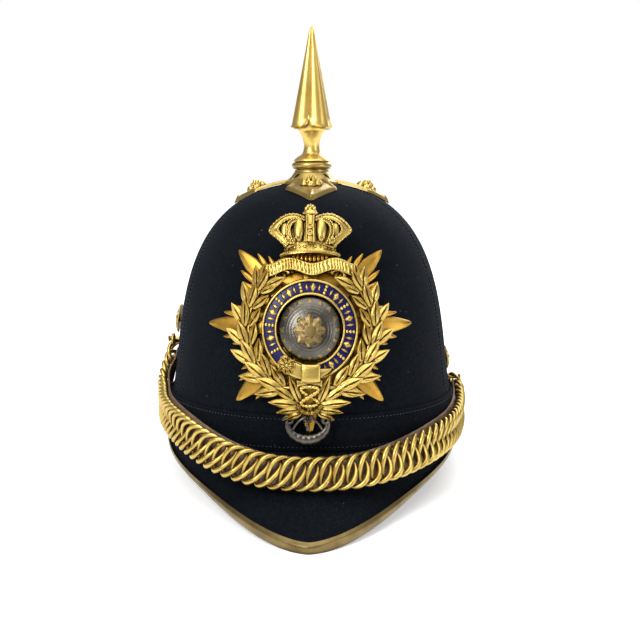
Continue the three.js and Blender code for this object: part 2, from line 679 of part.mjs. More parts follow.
// The curb chain as one closed band, waisted between its slanting links, with a ring at each end.
function buildChain() {
  const { halfHeight, halfDepth, waist, slant } = chain;
  const count = Math.round(routeCurve.getLength() / chain.pitch);
  const steps = 2 * count;
  const section = [[-1, 0], [-0.62, 1], [0.62, 1], [1, 0], [0.62, -1], [-0.62, -1]];
  const links = bar(section, steps, (u, up, out) => {
    const narrow = Math.round(u * steps) % 2 === 0 ? waist : 1;
    return fromFrame(routeFrame(u), slant * out, up * halfHeight * narrow, out * halfDepth * narrow);
  });
  const rings = [endRing(-1, ears.right), endRing(1, ears.left)];
  add("chin_chain", fuse([links, ...rings]), gilt);
  const half = leather.width / 2;
  const back = -leather.behind - leather.thickness;
  const strip = [[-half, back], [half, back], [half, -leather.behind], [-half, -leather.behind]];
  const strap = bar(strip, 36, (u, up, out) => fromFrame(routeFrame(u), 0, up + leather.raised, out));
  add("chain_backing", strap, hide);
}

// ---- Ear roses, and the pins that carry the chain's end rings ----
// Point beside an ear at a height and depth, and the way off the cloth there.
function earSeat(side, y, z) {
  const angle = side * (Math.PI / 2 + Math.asin(y / shell.halfWidth));
  let h = 0;
  while (domePoint(angle, h).z < z) h += 0.001;
  const at = domePoint(angle, h);
  const slope = domePoint(angle, h, 1).sub(at);
  return { at, off: offOval(at).setZ(slope.z).normalize() };
}

// A turned [radius, out] profile that stands off the cloth along a direction.
function earTurned({ at, off }, profile, around, rim = () => 1) {
  const up = new THREE.Vector3(0, 0, 1).addScaledVector(off, -off.z).normalize();
  const across = up.clone().cross(off);
  return turned(profile, around, (turn, r, out) => {
    const reach = r * rim(turn, r);
    const point = at.clone().addScaledVector(off, out);
    return point.addScaledVector(across, reach * Math.sin(turn)).addScaledVector(up, reach * Math.cos(turn));
  });
}

function buildEar(name, side, { z, y, radius, pinZ, pinY }) {
  const { stand, height } = rose;
  const petals = 7;
  const face = [
    [0, 2 * gap], [2.4, 2 * gap], [2.4, stand], [radius * 0.94, stand + 0.3], [radius, stand + 1.4],
    [radius * 0.62, stand + height * 0.72], [0, stand + height],
  ];
  const scallop = (turn, r) => (r > radius * 0.7 ? 1 + 0.07 * Math.cos(petals * turn) : 1);
  add("ear_rose_" + name, earTurned(earSeat(side, y, z), face, 2 * petals, scallop), gilt);
  const { radius: shank, reach, head } = pin;
  const nail = [[0, gap], [shank, gap], [shank, reach], [head, reach + 0.4], [0, reach + 1.4]];
  const { at } = earSeat(side, pinY, pinZ);
  add("chain_pin_" + name, earTurned({ at, off: new THREE.Vector3(side, 0, 0) }, nail, 8), gilt);
}

// The ring at an end of the chain, hung over its pin.
function endRing(side, { pinZ, pinY, ring }) {
  const { ringWire } = chain;
  const hang = earSeat(side, pinY, pinZ).at;
  hang.x += side * pin.ringAt;
  const drop = ring - ringWire - pin.radius - gap;
  const torus = new THREE.TorusGeometry(ring, ringWire, 5, 10);
  return solidOf(shaped(torus, (p) => new THREE.Vector3(hang.x + p.z, hang.y + p.x, hang.z - drop + p.y)));
}

buildShell();
buildBand();
buildPeak("front_peak", inset(frontRun), 20);
buildPeak("back_peak", inset(backRun), 18);
buildBinding("front_peak_binding", inset(frontRun), 20, oldGilt);
buildBinding("back_peak_binding", inset(backRun), 18, patent);
buildBackBar();
buildCross();
buildArmRoses();
buildRing();
buildSpike();
buildStar();
buildBelt();
buildBuckle();
buildWreath("wreath_left", 1);
buildWreath("wreath_right", -1);
buildCrown();
buildScroll();
buildTie();
buildSwag();
buildChain();
buildEar("right", -1, ears.right);
buildEar("left", 1, ears.left);

export default helmet;
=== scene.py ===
from math import asin, atan2, copysign, cos, degrees, exp, hypot, pi, radians, sin, sqrt, tau
import bpy
from mathutils import Matrix, Vector


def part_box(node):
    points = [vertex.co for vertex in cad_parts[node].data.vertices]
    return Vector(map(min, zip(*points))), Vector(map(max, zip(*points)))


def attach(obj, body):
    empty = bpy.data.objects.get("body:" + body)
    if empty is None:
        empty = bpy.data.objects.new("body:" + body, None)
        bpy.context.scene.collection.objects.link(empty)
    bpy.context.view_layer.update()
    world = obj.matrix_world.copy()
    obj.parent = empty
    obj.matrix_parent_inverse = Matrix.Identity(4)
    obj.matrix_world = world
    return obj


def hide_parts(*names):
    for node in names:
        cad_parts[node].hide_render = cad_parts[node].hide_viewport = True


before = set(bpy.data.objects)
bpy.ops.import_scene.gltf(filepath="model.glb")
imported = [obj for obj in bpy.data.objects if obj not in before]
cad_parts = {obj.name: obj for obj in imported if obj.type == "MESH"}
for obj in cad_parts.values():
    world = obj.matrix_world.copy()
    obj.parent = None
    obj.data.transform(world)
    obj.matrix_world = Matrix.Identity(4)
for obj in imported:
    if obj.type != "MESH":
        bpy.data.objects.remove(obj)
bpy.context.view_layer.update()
mm = 0.001  # everything below is drawn in millimetres and scaled once, in settle()
print("frame loaded")


# small tools

def boxOf(node):
    low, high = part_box(node)
    return low / mm, high / mm


def mix(a, b, share):
    return a + (b - a) * share


def vec(*parts):
    return Vector(parts)


def shift(*place):
    return Matrix.Translation(place if len(place) > 1 else place[0])


def stretch(x, y, z):
    return Matrix.Diagonal((x, y, z, 1))


def spin(angle, axis):
    return Matrix.Rotation(angle, 4, axis)


# turn that lays x, y and z along three directions
def axes(x, y, z):
    return Matrix((x, y, z)).transposed().to_4x4()


faceFront = spin(pi / 2, "X")  # for a piece that was drawn facing +z


# points in the xz plane from pairs of numbers
def flat(pairs):
    return [vec(x, 0, z) for x, z in pairs]


# half a section, its middle, and the half again on the other side
def mirrored(half, middle):
    return half + [middle] + [(-x, y) for x, y in half[::-1]]


# the row of a list that a share 0..1 of it falls on
def rowAt(rows, share):
    return rows[round(share * (len(rows) - 1))]


def clearSelection():
    bpy.ops.object.select_all(action="DESELECT")


def selectOnly(*pieces):
    clearSelection()
    for piece in pieces:
        piece.select_set(True)
    bpy.context.view_layer.objects.active = pieces[0]


def nameIt(piece, name):
    piece.name = name
    piece.data.name = name
    return piece


# merges doubles, fills open ends if asked, and turns every face outwards
def cleanUp(piece, capped=False, sharp=40):
    selectOnly(piece)
    bpy.ops.object.mode_set(mode="EDIT")
    bpy.ops.mesh.select_all(action="SELECT")
    bpy.ops.mesh.remove_doubles(threshold=1e-3)
    if capped:
        bpy.ops.mesh.fill_holes(sides=0)
    bpy.ops.mesh.select_all(action="SELECT")
    bpy.ops.mesh.normals_make_consistent(inside=False)
    bpy.ops.object.mode_set(mode="OBJECT")
    bpy.ops.object.shade_smooth_by_angle(angle=radians(sharp))
    return piece


# a grid whose every point (u, v) in 0..1 is put where place(u, v) says; paint(u, v) picks a material,
# which is gilt if none is given
def formed(name, across, along, place, materials=None, paint=None, capped=False, sharp=40):
    clearSelection()
    bpy.ops.mesh.primitive_grid_add(x_subdivisions=across, y_subdivisions=along, size=1)
    piece = nameIt(bpy.context.object, name)
    for material in materials or [gilt]:
        piece.data.materials.append(material)
    if paint:
        for face in piece.data.polygons:
            face.material_index = paint(face.center.x + 0.5, face.center.y + 0.5)
    for vertex in piece.data.vertices:
        vertex.co = place(vertex.co.x + 0.5, vertex.co.y + 0.5)
    return cleanUp(piece, capped, sharp)


def reshape(piece, place):
    for vertex in piece.data.vertices:
        vertex.co = place(vertex.co)
    return piece


def moved(piece, matrix):
    piece.data.transform(matrix)
    return piece


def primitive(add, material, **values):
    clearSelection()
    add(**values)
    piece = bpy.context.object
    piece.data.materials.append(material)
    return piece


def bevelled(piece, offset, segments=2):
    bpy.ops.object.mode_set(mode="EDIT")
    bpy.ops.mesh.bevel(offset=offset, segments=segments, affect="EDGES")
    bpy.ops.object.mode_set(mode="OBJECT")
    return piece


# one copy of a model per matrix, each with its own mesh
def copiesOf(model, matrices):
    made = []
    for matrix in matrices:
        twin = model.copy()
        twin.data = model.data.copy()
        twin.data.transform(matrix)
        bpy.context.collection.objects.link(twin)
        made.append(twin)
    bpy.data.objects.remove(model)
    return made


def joined(name, pieces):
    selectOnly(*pieces)
    if len(pieces) > 1:
        bpy.ops.object.join()
    return nameIt(bpy.context.object, name)


# a finished piece: scaled to metres, riding on the helmet, standing for its CAD nodes
def settle(piece, slotName, *nodes):
    piece.data.transform(Matrix.Scale(mm, 4))
    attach(piece, "root")
    if nodes:
        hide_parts(*nodes)


def bead(radius, material=None, around=10, rings=6):
    add = bpy.ops.mesh.primitive_uv_sphere_add
    piece = primitive(add, material or gilt, segments=around, ring_count=rings, radius=radius)
    bpy.ops.object.shade_smooth()
    return piece


def smallBeads(radius, places):
    return copiesOf(bead(radius, gilt, 8, 5), [shift(place) for place in places])


def torus(radius, half, around, section):
    piece = primitive(
        bpy.ops.mesh.primitive_torus_add, gilt, major_radius=radius, minor_radius=half,
        major_segments=around, minor_segments=section,
    )
    bpy.ops.object.shade_smooth()
    return piece


# smooth curve through a list of points, t in 0..1 (centripetal, as in the CAD)
def splinePoint(points, t):
    last = len(points) - 1
    place = min(max(t, 0), 1) * last
    first = min(int(place), last - 1)
    p1 = points[first]
    p2 = points[first + 1]
    p0 = points[first - 1] if first > 0 else p1 * 2 - p2
    p3 = points[first + 2] if first + 2 <= last else p2 * 2 - p1
    gaps = [max((b - a).length ** 0.5, 1e-3) for a, b in ((p0, p1), (p1, p2), (p2, p3))]
    start = ((p1 - p0) / gaps[0] - (p2 - p0) / (gaps[0] + gaps[1]) + (p2 - p1) / gaps[1]) * gaps[1]
    end = ((p2 - p1) / gaps[1] - (p3 - p1) / (gaps[1] + gaps[2]) + (p3 - p2) / gaps[2]) * gaps[1]
    w = place - first
    square = p1 * -3 + p2 * 3 - start * 2 - end
    cube = p1 * 2 - p2 * 2 + start + end
    return p1 + start * w + square * w ** 2 + cube * w ** 3


# closed rounded section: point at share u of a rectangle 2 halfWide by 2 halfHigh with round ends
def superSection(u, halfWide, halfHigh, squareness=0.5):
    turn = tau * u
    c = cos(turn)
    s = sin(turn)
    return (
        halfWide * copysign(abs(c) ** squareness, c),
        halfHigh * copysign(abs(s) ** squareness, s),
    )


# a tube of one radius along route(share), closed on itself or capped
def wire(name, route, steps, radius, around, material=None, closedLoop=False, squash=1.0, up=vec(0, -1, 0)):
    def place(u, v):
        at = route(v)
        step = 1e-3
        ahead = route(v + step if closedLoop else min(v + step, 1))
        behind = route(v - step if closedLoop else max(v - step, 0))
        along = (ahead - behind).normalized()
        side = along.cross(up).normalized()
        lift = side.cross(along)
        turn = tau * u
        size = radius(v) if callable(radius) else radius
        return at + side * (size * cos(turn)) + lift * (size * squash * sin(turn))
    return formed(name, around, steps, place, [material or gilt], capped=not closedLoop)


# materials

def setInputs(node, values):
    for key, value in values.items():
        node.inputs[key].default_value = value


def startMaterial(name, color, roughness, metallic=0.0):
    material = bpy.data.materials.new(name)
    material.use_nodes = True
    shader = material.node_tree.nodes["Principled BSDF"]
    setInputs(shader, {"Base Color": (*color, 1), "Roughness": roughness, "Metallic": metallic})
    return material, material.node_tree, shader


def addNode(tree, kind, **values):
    node = tree.nodes.new(kind)
    for key, value in values.items():
        if key in node.inputs:
            node.inputs[key].default_value = value
        else:
            setattr(node, key, value)
    return node


def noiseOn(tree, coords, scale, detail=3.0, roughness=0.55):
    node = addNode(tree, "ShaderNodeTexNoise", Scale=scale, Detail=detail, Roughness=roughness)
    tree.links.new(coords, node.inputs["Vector"])
    return node.outputs["Fac"]


def ramp(tree, source, *stops):
    node = addNode(tree, "ShaderNodeValToRGB")
    elements = node.color_ramp.elements
    while len(elements) < len(stops):
        elements.new(0.5)
    for element, (place, color) in zip(elements, stops):
        element.position = place
        element.color = (*color, 1) if isinstance(color, tuple) else (color, color, color, 1)
    tree.links.new(source, node.inputs["Fac"])
    return node.outputs["Color"]


def blendColors(tree, how, share, first, second):
    node = addNode(tree, "ShaderNodeMix", data_type="RGBA", blend_type=how)
    for socket, value in ((node.inputs[0], share), (node.inputs[6], first), (node.inputs[7], second)):
        if isinstance(value, (int, float)):
            socket.default_value = value
        elif isinstance(value, tuple):
            socket.default_value = (*value, 1)
        else:
            tree.links.new(value, socket)
    return node.outputs[2]


def math2(tree, operation, first, second=0.0):
    node = addNode(tree, "ShaderNodeMath", operation=operation)
    for socket, value in ((node.inputs[0], first), (node.inputs[1], second)):
        if isinstance(value, (int, float)):
            socket.default_value = value
        else:
            tree.links.new(value, socket)
    return node.outputs[0]


def bumpFrom(tree, shader, height, distance, strength=1.0, before=None):
    node = addNode(tree, "ShaderNodeBump", Strength=strength, Distance=distance)
    tree.links.new(height, node.inputs["Height"])
    if before:
        tree.links.new(before.outputs["Normal"], node.inputs["Normal"])
    tree.links.new(node.outputs["Normal"], shader.inputs["Normal"])
    return node


def objectCoords(tree):
    return addNode(tree, "ShaderNodeTexCoord").outputs["Object"]


# two colours in clouds, the second where the noise is high
def clouded(tree, coords, noise, stops, first, second):
    low, high = stops
    clouds = ramp(tree, noiseOn(tree, coords, *noise), (low, 0.0), (high, 1.0))
    return blendColors(tree, "MIX", clouds, first, second)


def roughFrom(tree, shader, height, low, spread):
    rough = math2(tree, "MULTIPLY_ADD", height, spread)
    rough.node.inputs[2].default_value = low
    tree.links.new(rough, shader.inputs["Roughness"])


clothLook = {
    "deep": (0.0018, 0.0027, 0.0042),
    "worn": (0.0108, 0.0128, 0.0166),
    "lint": (0.15, 0.16, 0.18),
    "fibreScale": 1500.0,
    "patchScale": 26,
    "mottleScale": 620,
    "speckScale": 185.0,
    "speckPatchScale": 75,
    "napScale": 420,
    "nap": 0.00022,
    "sheen": 0.020,
    "specular": 0.035,
}


# felted cloth: worn lighter in patches and mottles, with specks of lint
def makeCloth(name, look):
    material, tree, shader = startMaterial(name, look["deep"], 0.92)
    coords = objectCoords(tree)
    fibres = noiseOn(tree, coords, look["fibreScale"], 4, 0.7)
    patches = ramp(tree, noiseOn(tree, coords, look["patchScale"], 4), (0.3, 0.35), (0.7, 1.0))
    share = math2(tree, "MULTIPLY", ramp(tree, fibres, (0.35, 0.0), (0.75, 1.0)), patches)
    mottle = ramp(tree, noiseOn(tree, coords, look["mottleScale"], 3, 0.7), (0.36, 0.25), (0.64, 1.3))
    color = blendColors(tree, "MIX", math2(tree, "MULTIPLY", share, mottle), look["deep"], look["worn"])
    specks = addNode(tree, "ShaderNodeTexVoronoi", Scale=look["speckScale"])
    tree.links.new(coords, specks.inputs["Vector"])
    near = ramp(tree, specks.outputs["Distance"], (0.03, 1.0), (0.075, 0.0))
    chosen = ramp(tree, noiseOn(tree, coords, look["speckPatchScale"], 2), (0.47, 0.0), (0.60, 1.0))
    lint = math2(tree, "MULTIPLY", math2(tree, "MULTIPLY", near, chosen), 0.75)
    tree.links.new(blendColors(tree, "MIX", lint, color, look["lint"]), shader.inputs["Base Color"])
    setInputs(shader, {
        "Sheen Weight": look["sheen"], "Sheen Roughness": 0.45, "Sheen Tint": (0.55, 0.65, 0.85, 1),
        "Specular IOR Level": look["specular"],
    })
    coarse = bumpFrom(tree, shader, noiseOn(tree, coords, look["napScale"], 3), look["nap"], 0.5)
    bumpFrom(tree, shader, fibres, look["nap"], 0.9, coarse)
    return material


giltLook = {
    "bright": (0.59, 0.430, 0.118),
    "dull": (0.43, 0.285, 0.068),
    # colour of the painted shade in hollows, partly grime
    "shadeAndGrime": (0.085, 0.043, 0.011),
    "roughness": (0.29, 0.44),
    "cavity": 0.0030,
    "open": (0.26, 0.86),
    "grain": 0.00003,
    "cloudScale": 70,
    "rubScale": 160,
}
spikeLook = dict(giltLook, bright=(0.72, 0.52, 0.15), dull=(0.58, 0.39, 0.095), roughness=(0.33, 0.44))
crossLook = dict(giltLook, bright=(0.46, 0.335, 0.110), dull=(0.32, 0.215, 0.060), roughness=(0.32, 0.46))
starLook = dict(
    giltLook, bright=(0.44, 0.255, 0.042), dull=(0.31, 0.165, 0.024), roughness=(0.32, 0.48), grain=0.00005
)
oldGiltLook = dict(
    giltLook, bright=(0.235, 0.170, 0.068), dull=(0.120, 0.085, 0.034), roughness=(0.34, 0.52), grain=0.00007
)
silverLook = dict(
    giltLook, bright=(0.115, 0.105, 0.088), dull=(0.042, 0.038, 0.031), shadeAndGrime=(0.010, 0.009, 0.008),
    roughness=(0.26, 0.44),
)


# die-struck metal: brighter where it is rubbed, with painted shade darkening its hollows (read from ambient occlusion,
# partly standing for grime)
def makeMetal(name, look, grainScale=900.0):
    material, tree, shader = startMaterial(name, look["bright"], look["roughness"][0], 1.0)
    coords = objectCoords(tree)
    color = clouded(tree, coords, (look["cloudScale"], 5, 0.6), (0.42, 0.72), look["bright"], look["dull"])
    # painted shade: ambient occlusion darkens the base colour in hollows and creases
    hollow = addNode(tree, "ShaderNodeAmbientOcclusion", samples=6, Distance=look["cavity"])
    shut, clear = look["open"]
    openness = ramp(tree, hollow.outputs["AO"], (shut, 0.0), (clear, 1.0))
    tree.links.new(blendColors(tree, "MIX", openness, look["shadeAndGrime"], color), shader.inputs["Base Color"])
    low, high = look["roughness"]
    roughFrom(tree, shader, noiseOn(tree, coords, look["rubScale"], 4), low, high - low)
    bumpFrom(tree, shader, noiseOn(tree, coords, grainScale, 3), look["grain"], 0.7)
    return material


enamelLook = {
    "plain": (0.010, 0.009, 0.10),
    "deep": (0.006, 0.005, 0.055),
    "bright": (0.011, 0.010, 0.105),
    "cloudScale": 420,
    "rippleScale": 260,
    "ripple": 0.0001,
}


def makeEnamel(name, look):
    material, tree, shader = startMaterial(name, look["plain"], 0.34)
    coords = objectCoords(tree)
    color = clouded(tree, coords, (look["cloudScale"], 4), (0.35, 0.7), look["deep"], look["bright"])
    tree.links.new(color, shader.inputs["Base Color"])
    setInputs(shader, {"Specular IOR Level": 0.18, "Coat Weight": 0.05, "Coat Roughness": 0.08})
    bumpFrom(tree, shader, noiseOn(tree, coords, look["rippleScale"], 2), look["ripple"], 0.35)
    return material


def makeLeather(name, bright, dark, roughness, pore=520.0, crease=0.00028):
    material, tree, shader = startMaterial(name, bright, roughness)
    coords = objectCoords(tree)
    color = clouded(tree, coords, (95, 5), (0.35, 0.68), bright, dark)
    cells = addNode(tree, "ShaderNodeTexVoronoi", Scale=pore, feature="DISTANCE_TO_EDGE")
    tree.links.new(coords, cells.inputs["Vector"])
    furrows = ramp(tree, cells.outputs["Distance"], (0.0, 0.0), (0.18, 1.0))
    tree.links.new(blendColors(tree, "MULTIPLY", 0.4, color, furrows), shader.inputs["Base Color"])
    roughFrom(tree, shader, noiseOn(tree, coords, 300, 3), roughness - 0.1, 0.22)
    bumpFrom(tree, shader, furrows, crease, 0.45)
    return material


def makeThread(name, color):
    material, tree, shader = startMaterial(name, color, 0.8)
    strands = noiseOn(tree, objectCoords(tree), 2600, 2)
    dark = tuple(c * 0.6 for c in color)
    tree.links.new(blendColors(tree, "MIX", strands, dark, color), shader.inputs["Base Color"])
    setInputs(shader, {"Sheen Weight": 0.2})
    bumpFrom(tree, shader, strands, 0.00008, 0.6)
    return material


# painted shadow for the bottom of the collar's slots, mottled a little
def makeShadow(name):
    material, tree, shader = startMaterial(name, (0.006, 0.004, 0.002), 0.9)
    shadowMottle = noiseOn(tree, objectCoords(tree), 900, 3)
    color = ramp(tree, shadowMottle, (0.3, (0.004, 0.003, 0.002)), (0.8, (0.012, 0.008, 0.004)))
    tree.links.new(color, shader.inputs["Base Color"])
    return material


cloth = makeCloth("navyCloth", clothLook)
gilt = makeMetal("gilt", giltLook)
spikeGilt = makeMetal("spikeGilt", spikeLook)
crossGilt = makeMetal("crossGilt", crossLook)
starGilt = makeMetal("starGilt", starLook, 600)
oldGilt = makeMetal("oldGilt", oldGiltLook, 500)
silver = makeMetal("darkSilver", silverLook, 700)
enamel = makeEnamel("blueEnamel", enamelLook)
hide = makeLeather("hideBacking", (0.235, 0.145, 0.085), (0.105, 0.062, 0.036), 0.62)
greenHide = makeLeather("greenLining", (0.020, 0.052, 0.030), (0.011, 0.030, 0.018), 0.45, 700)
sweatHide = makeLeather("sweatLeather", (0.30, 0.19, 0.105), (0.17, 0.10, 0.055), 0.5, 600)
patent = makeLeather("patentLeather", (0.010, 0.010, 0.011), (0.005, 0.005, 0.006), 0.24, 300, 0.00012)
thread = makeThread("darkThread", (0.020, 0.024, 0.031))
print("materials made")


# form of the body: angle 0 is the front, +90 degrees the wearer's left ear

shellLow, shellHigh = boxOf("helmet_shell")
bandLow, bandHigh = boxOf("hat_band")
body = {
    "halfWidth": shellHigh.x,
    "halfLength": -shellLow.y,
    "top": boxOf("shell_dome")[1].z,
    "roundness": 2.15,
    "wall": 4.0,
    "taper": 0.125,
    "taperPower": 0.72,
    "domePower": 3.5,
    "domeFullness": 0.42,
    "seams": (57.0, 122.0),
    "seamTop": 0.99,
}
seamAngles = [side * radians(seam) for side in (-1, 1) for seam in body["seams"]]
band = {"height": 19.0, "thickness": 1.2, "lift": 0.3, "riseFade": 1.5}
band["rise"] = bandHigh.z - bandLow.z - band["height"]
peak = {
    "thickness": 3.0,
    "seam": 80.0,
    "earOut": 1.6,
    "earHeight": 18.5,
    "restHeight": 3.2,
    "frontSpread": 19.3,
    "backSpread": 55.0,
    "rootReach": 0.21,
    "rootDrop": 0.525,
    "edge": 4.8,
    "frontPower": 1.5,
    "backPower": 2.2,
    "frontSlope": 1.6,
    "backSlope": 1.8,
    "seamGap": 0.15,
}
peak["frontOut"] = -boxOf("front_peak")[0].y - body["halfLength"] - peak["earOut"]
peak["backOut"] = boxOf("back_peak")[1].y - body["halfLength"] - peak["earOut"]


def spot(angle, r, z):
    return vec(r * sin(angle), -r * cos(angle), z)


def ovalRadius(angle):
    across = abs(sin(angle)) / body["halfWidth"]
    along = abs(cos(angle)) / body["halfLength"]
    power = body["roundness"]
    return (across ** power + along ** power) ** (-1 / power)


def bandTop(angle):
    return bandLow.z + band["height"] + band["rise"] * max(0.0, cos(angle)) ** band["riseFade"]


def bandFoot(angle):
    return bandTop(angle) - band["height"]


# point at a share of the band's height, out from the shell
def bandSpot(angle, out, share):
    return spot(angle, ovalRadius(angle) + out, mix(bandFoot(angle), bandTop(angle), share))


def domeShare(h):
    taper = 1 - body["taper"] * h ** body["taperPower"]
    return taper * max(0.0, 1 - h ** body["domePower"]) ** body["domeFullness"]


# point of the dome at h = 0 at the band's top edge to 1 at the crown, lifted off the cloth
def domePoint(angle, h, lift=0.0):
    rise = body["top"] - bandTop(angle)
    r = ovalRadius(angle)
    low = max(0.0, h - 1e-3)
    high = min(1.0, h + 1e-3)
    out = rise * (high - low)
    up = -r * (domeShare(high) - domeShare(low))
    size = hypot(out, up)
    return spot(angle, r * domeShare(h) + lift * out / size, bandTop(angle) + rise * h + lift * up / size)


def domeHeight(x, y):
    angle = atan2(x, -y)
    share = hypot(x, y) / ovalRadius(angle)
    low, high = 0.3, 1.0
    for i in range(26):
        middle = (low + high) / 2
        if domeShare(middle) > share:
            low = middle
        else:
            high = middle
    return mix(bandTop(angle), body["top"], low)


def rimOut(angle):
    fromFront = abs(degrees(atan2(sin(angle), cos(angle))))
    front = peak["frontOut"] * exp(-((fromFront / peak["frontSpread"]) ** peak["frontPower"]))
    back = peak["backOut"] * exp(-(((180 - fromFront) / peak["backSpread"]) ** peak["backPower"]))
    return peak["earOut"] + front + back


def rimHeight(angle):
    ahead = cos(angle) > 0
    reach = body["halfLength"] + peak["earOut"] + (peak["frontOut"] if ahead else peak["backOut"])
    share = abs(cos(angle)) * (ovalRadius(angle) + rimOut(angle)) / reach
    return mix(peak["earHeight"], peak["restHeight"], share ** peak["frontSlope" if ahead else "backSlope"])


# point of a peak's upper face at t = 0 under the band to 1 at its rim, lifted off it or gone past it
def peakPoint(angle, t, lift=0.0, past=0.0):
    root = vec(ovalRadius(angle), bandFoot(angle) - 0.3)
    rim = vec(root.x + rimOut(angle), rimHeight(angle))
    bend = vec(root.x + peak["rootReach"] * rimOut(angle), root.y - peak["rootDrop"] * (root.y - rim.y))
    at = root * (1 - t) ** 2 + bend * (2 * t * (1 - t)) + rim * t * t
    along = ((bend - root) * (1 - t) + (rim - bend) * t).normalized()
    return spot(angle, at.x + along.x * past - along.y * lift, at.y + along.y * past + along.x * lift)


def peakLength(angle):
    corners = [peakPoint(angle, i / 8) for i in range(9)]
    return sum((b - a).length for a, b in zip(corners, corners[1:]))


# cloth shell, band, seams and stitches

# outside from the band's foot over the crown, then back down inside
def buildShell():
    wallRows = 5
    domeRows = 64
    insideRows = 26
    crowding = 2.4
    rows = [("wall", i / wallRows) for i in range(wallRows)]
    rows += [("dome", 1 - (1 - i / domeRows) ** crowding) for i in range(domeRows + 1)]
    rows += [("inside", 1 - (i / insideRows) ** crowding) for i in range(insideRows + 1)]
    rows += [("insideFoot", 0), ("wall", 0)]
    inside = (body["halfWidth"] - body["wall"]) / body["halfWidth"]

    def place(u, v):
        angle = tau * u
        kind, h = rowAt(rows, v)
        if kind == "wall":
            return bandSpot(angle, 0, h)
        if kind == "dome":
            return domePoint(angle, h)
        if kind == "insideFoot":
            return spot(angle, ovalRadius(angle) * inside, bandFoot(angle))
        z = mix(bandTop(angle), body["top"] - body["wall"], h)
        return spot(angle, ovalRadius(angle) * inside * domeShare(h), z)

    piece = formed("clothShell", 160, len(rows) - 1, place, [cloth])
    settle(piece, "cloth", "helmet_shell", "shell_dome")


# closed ring of cloth round the foot of the dome, folded at its top edge
def buildBand():
    inner = band["lift"]
    outer = inner + band["thickness"]
    fold = 0.55
    section = [
        (inner, 0), (outer - 0.3, 0), (outer, 0.3), (outer, 0.5), (outer - 0.12, 0.885), (outer - 0.16, 0.9),
        (outer, 0.93), (outer, 1 - fold / 12), (outer - 0.25, 1 - fold / 40), (outer - fold, 1), (inner, 1),
        (inner, 0),
    ]
    piece = formed(
        "clothBand", 200, len(section) - 1, lambda u, v: bandSpot(tau * u, *rowAt(section, v)), [cloth], sharp=60
    )
    settle(piece, "cloth", "hat_band")


stitch = {"length": 1.1, "thick": 0.21, "pitch": 2.3, "bandRows": (0.885, 0.10), "besideSeam": 2.3}


# a row of stitches along route(share), lying half in the cloth
def stitchRow(route, facing):
    samples = 400
    points = [route(i / samples) for i in range(samples + 1)]
    reach = [0.0]
    for a, b in zip(points, points[1:]):
        reach.append(reach[-1] + (b - a).length)
    count = int(reach[-1] / stitch["pitch"])
    matrices = []
    at = 0
    for i in range(count):
        goal = (i + 0.5) * stitch["pitch"]
        while reach[at + 1] < goal:
            at += 1
        share = (goal - reach[at]) / (reach[at + 1] - reach[at])
        middle = points[at].lerp(points[at + 1], share)
        along = (points[at + 1] - points[at]).normalized()
        out = facing(middle)
        side = along.cross(out).normalized()
        size = stretch(stitch["length"] / 2, stitch["thick"], stitch["thick"])
        matrices.append(shift(middle) @ axes(along, side, out) @ size)
    return matrices


def awayFromAxis(point):
    return vec(point.x / body["halfWidth"] ** 2, point.y / body["halfLength"] ** 2, 0).normalized()


def buildStitches():
    out = band["lift"] + band["thickness"] + 0.05
    matrices = []
    for share in stitch["bandRows"]:
        matrices += stitchRow(lambda s, share=share: bandSpot(tau * s, out, share), awayFromAxis)
    headMiddle = vec(0, 0, 60)
    for seam in seamAngles:
        for offset in (-stitch["besideSeam"], stitch["besideSeam"]):
            def route(s, seam=seam, offset=offset):
                h = mix(0.01, body["seamTop"] - 0.02, s)
                return domePoint(seam + offset / (ovalRadius(1.4) * max(domeShare(h), 0.2)), h, 0.08)
            matrices += stitchRow(route, lambda p: (p - headMiddle).normalized())
    settle(joined("seamStitches", copiesOf(bead(1.0, thread, 6, 4), matrices)), "cloth")


# the panels meet in four pressed seams that run up the dome, two on each side
def buildSeams():
    section = mirrored([(-1.5, -0.1), (-1.2, 0.14), (-0.5, 0.24), (-0.14, 0.2)], (0, -0.02))
    section += [(0, -0.4), (-1.5, -0.1)]
    pieces = []
    for seam in seamAngles:
        def place(u, v, seam=seam):
            x, lift = rowAt(section, u)
            point = domePoint(seam, mix(0.005, body["seamTop"], 1 - (1 - v) ** 1.6), lift)
            return point + vec(0, 0, 1).cross(awayFromAxis(point)).normalized() * x
        pieces.append(formed("seam", len(section) - 1, 60, place, [cloth], capped=True, sharp=80))
    settle(joined("panelSeams", pieces), "cloth")


buildShell()
buildBand()
buildSeams()
buildStitches()
print("shell, band and seams done")


# peaks and their bindings

def frontRun(u):
    return copysign(abs(2 * u - 1) ** 1.35, u - 0.5) * radians(peak["seam"] - peak["seamGap"])


def backRun(u):
    return pi + (2 * u - 1) * radians(180 - peak["seam"] - peak["seamGap"])


def buildPeak(name, run, node, lining):
    topRows = 22
    rows = [(i / topRows, 0) for i in range(topRows + 1)]
    rows += [(1, -1), (1, -peak["thickness"] + 0.7)]
    rows += [(1 - i / topRows, -peak["thickness"]) for i in range(topRows + 1)]
    rows.append((0, 0))

    def place(u, v):
        t, lift = rowAt(rows, v)
        return peakPoint(run(u), t, lift)

    piece = formed(
        name, 120, len(rows) - 1, place, [cloth, lining], lambda u, v: int(v * (len(rows) - 1) > topRows + 2),
        capped=True, sharp=50,
    )
    settle(piece, "cloth", node)


binding = {"lip": 0.9, "slack": 0.67, "nose": 1.7, "frontEdge": 1.5}


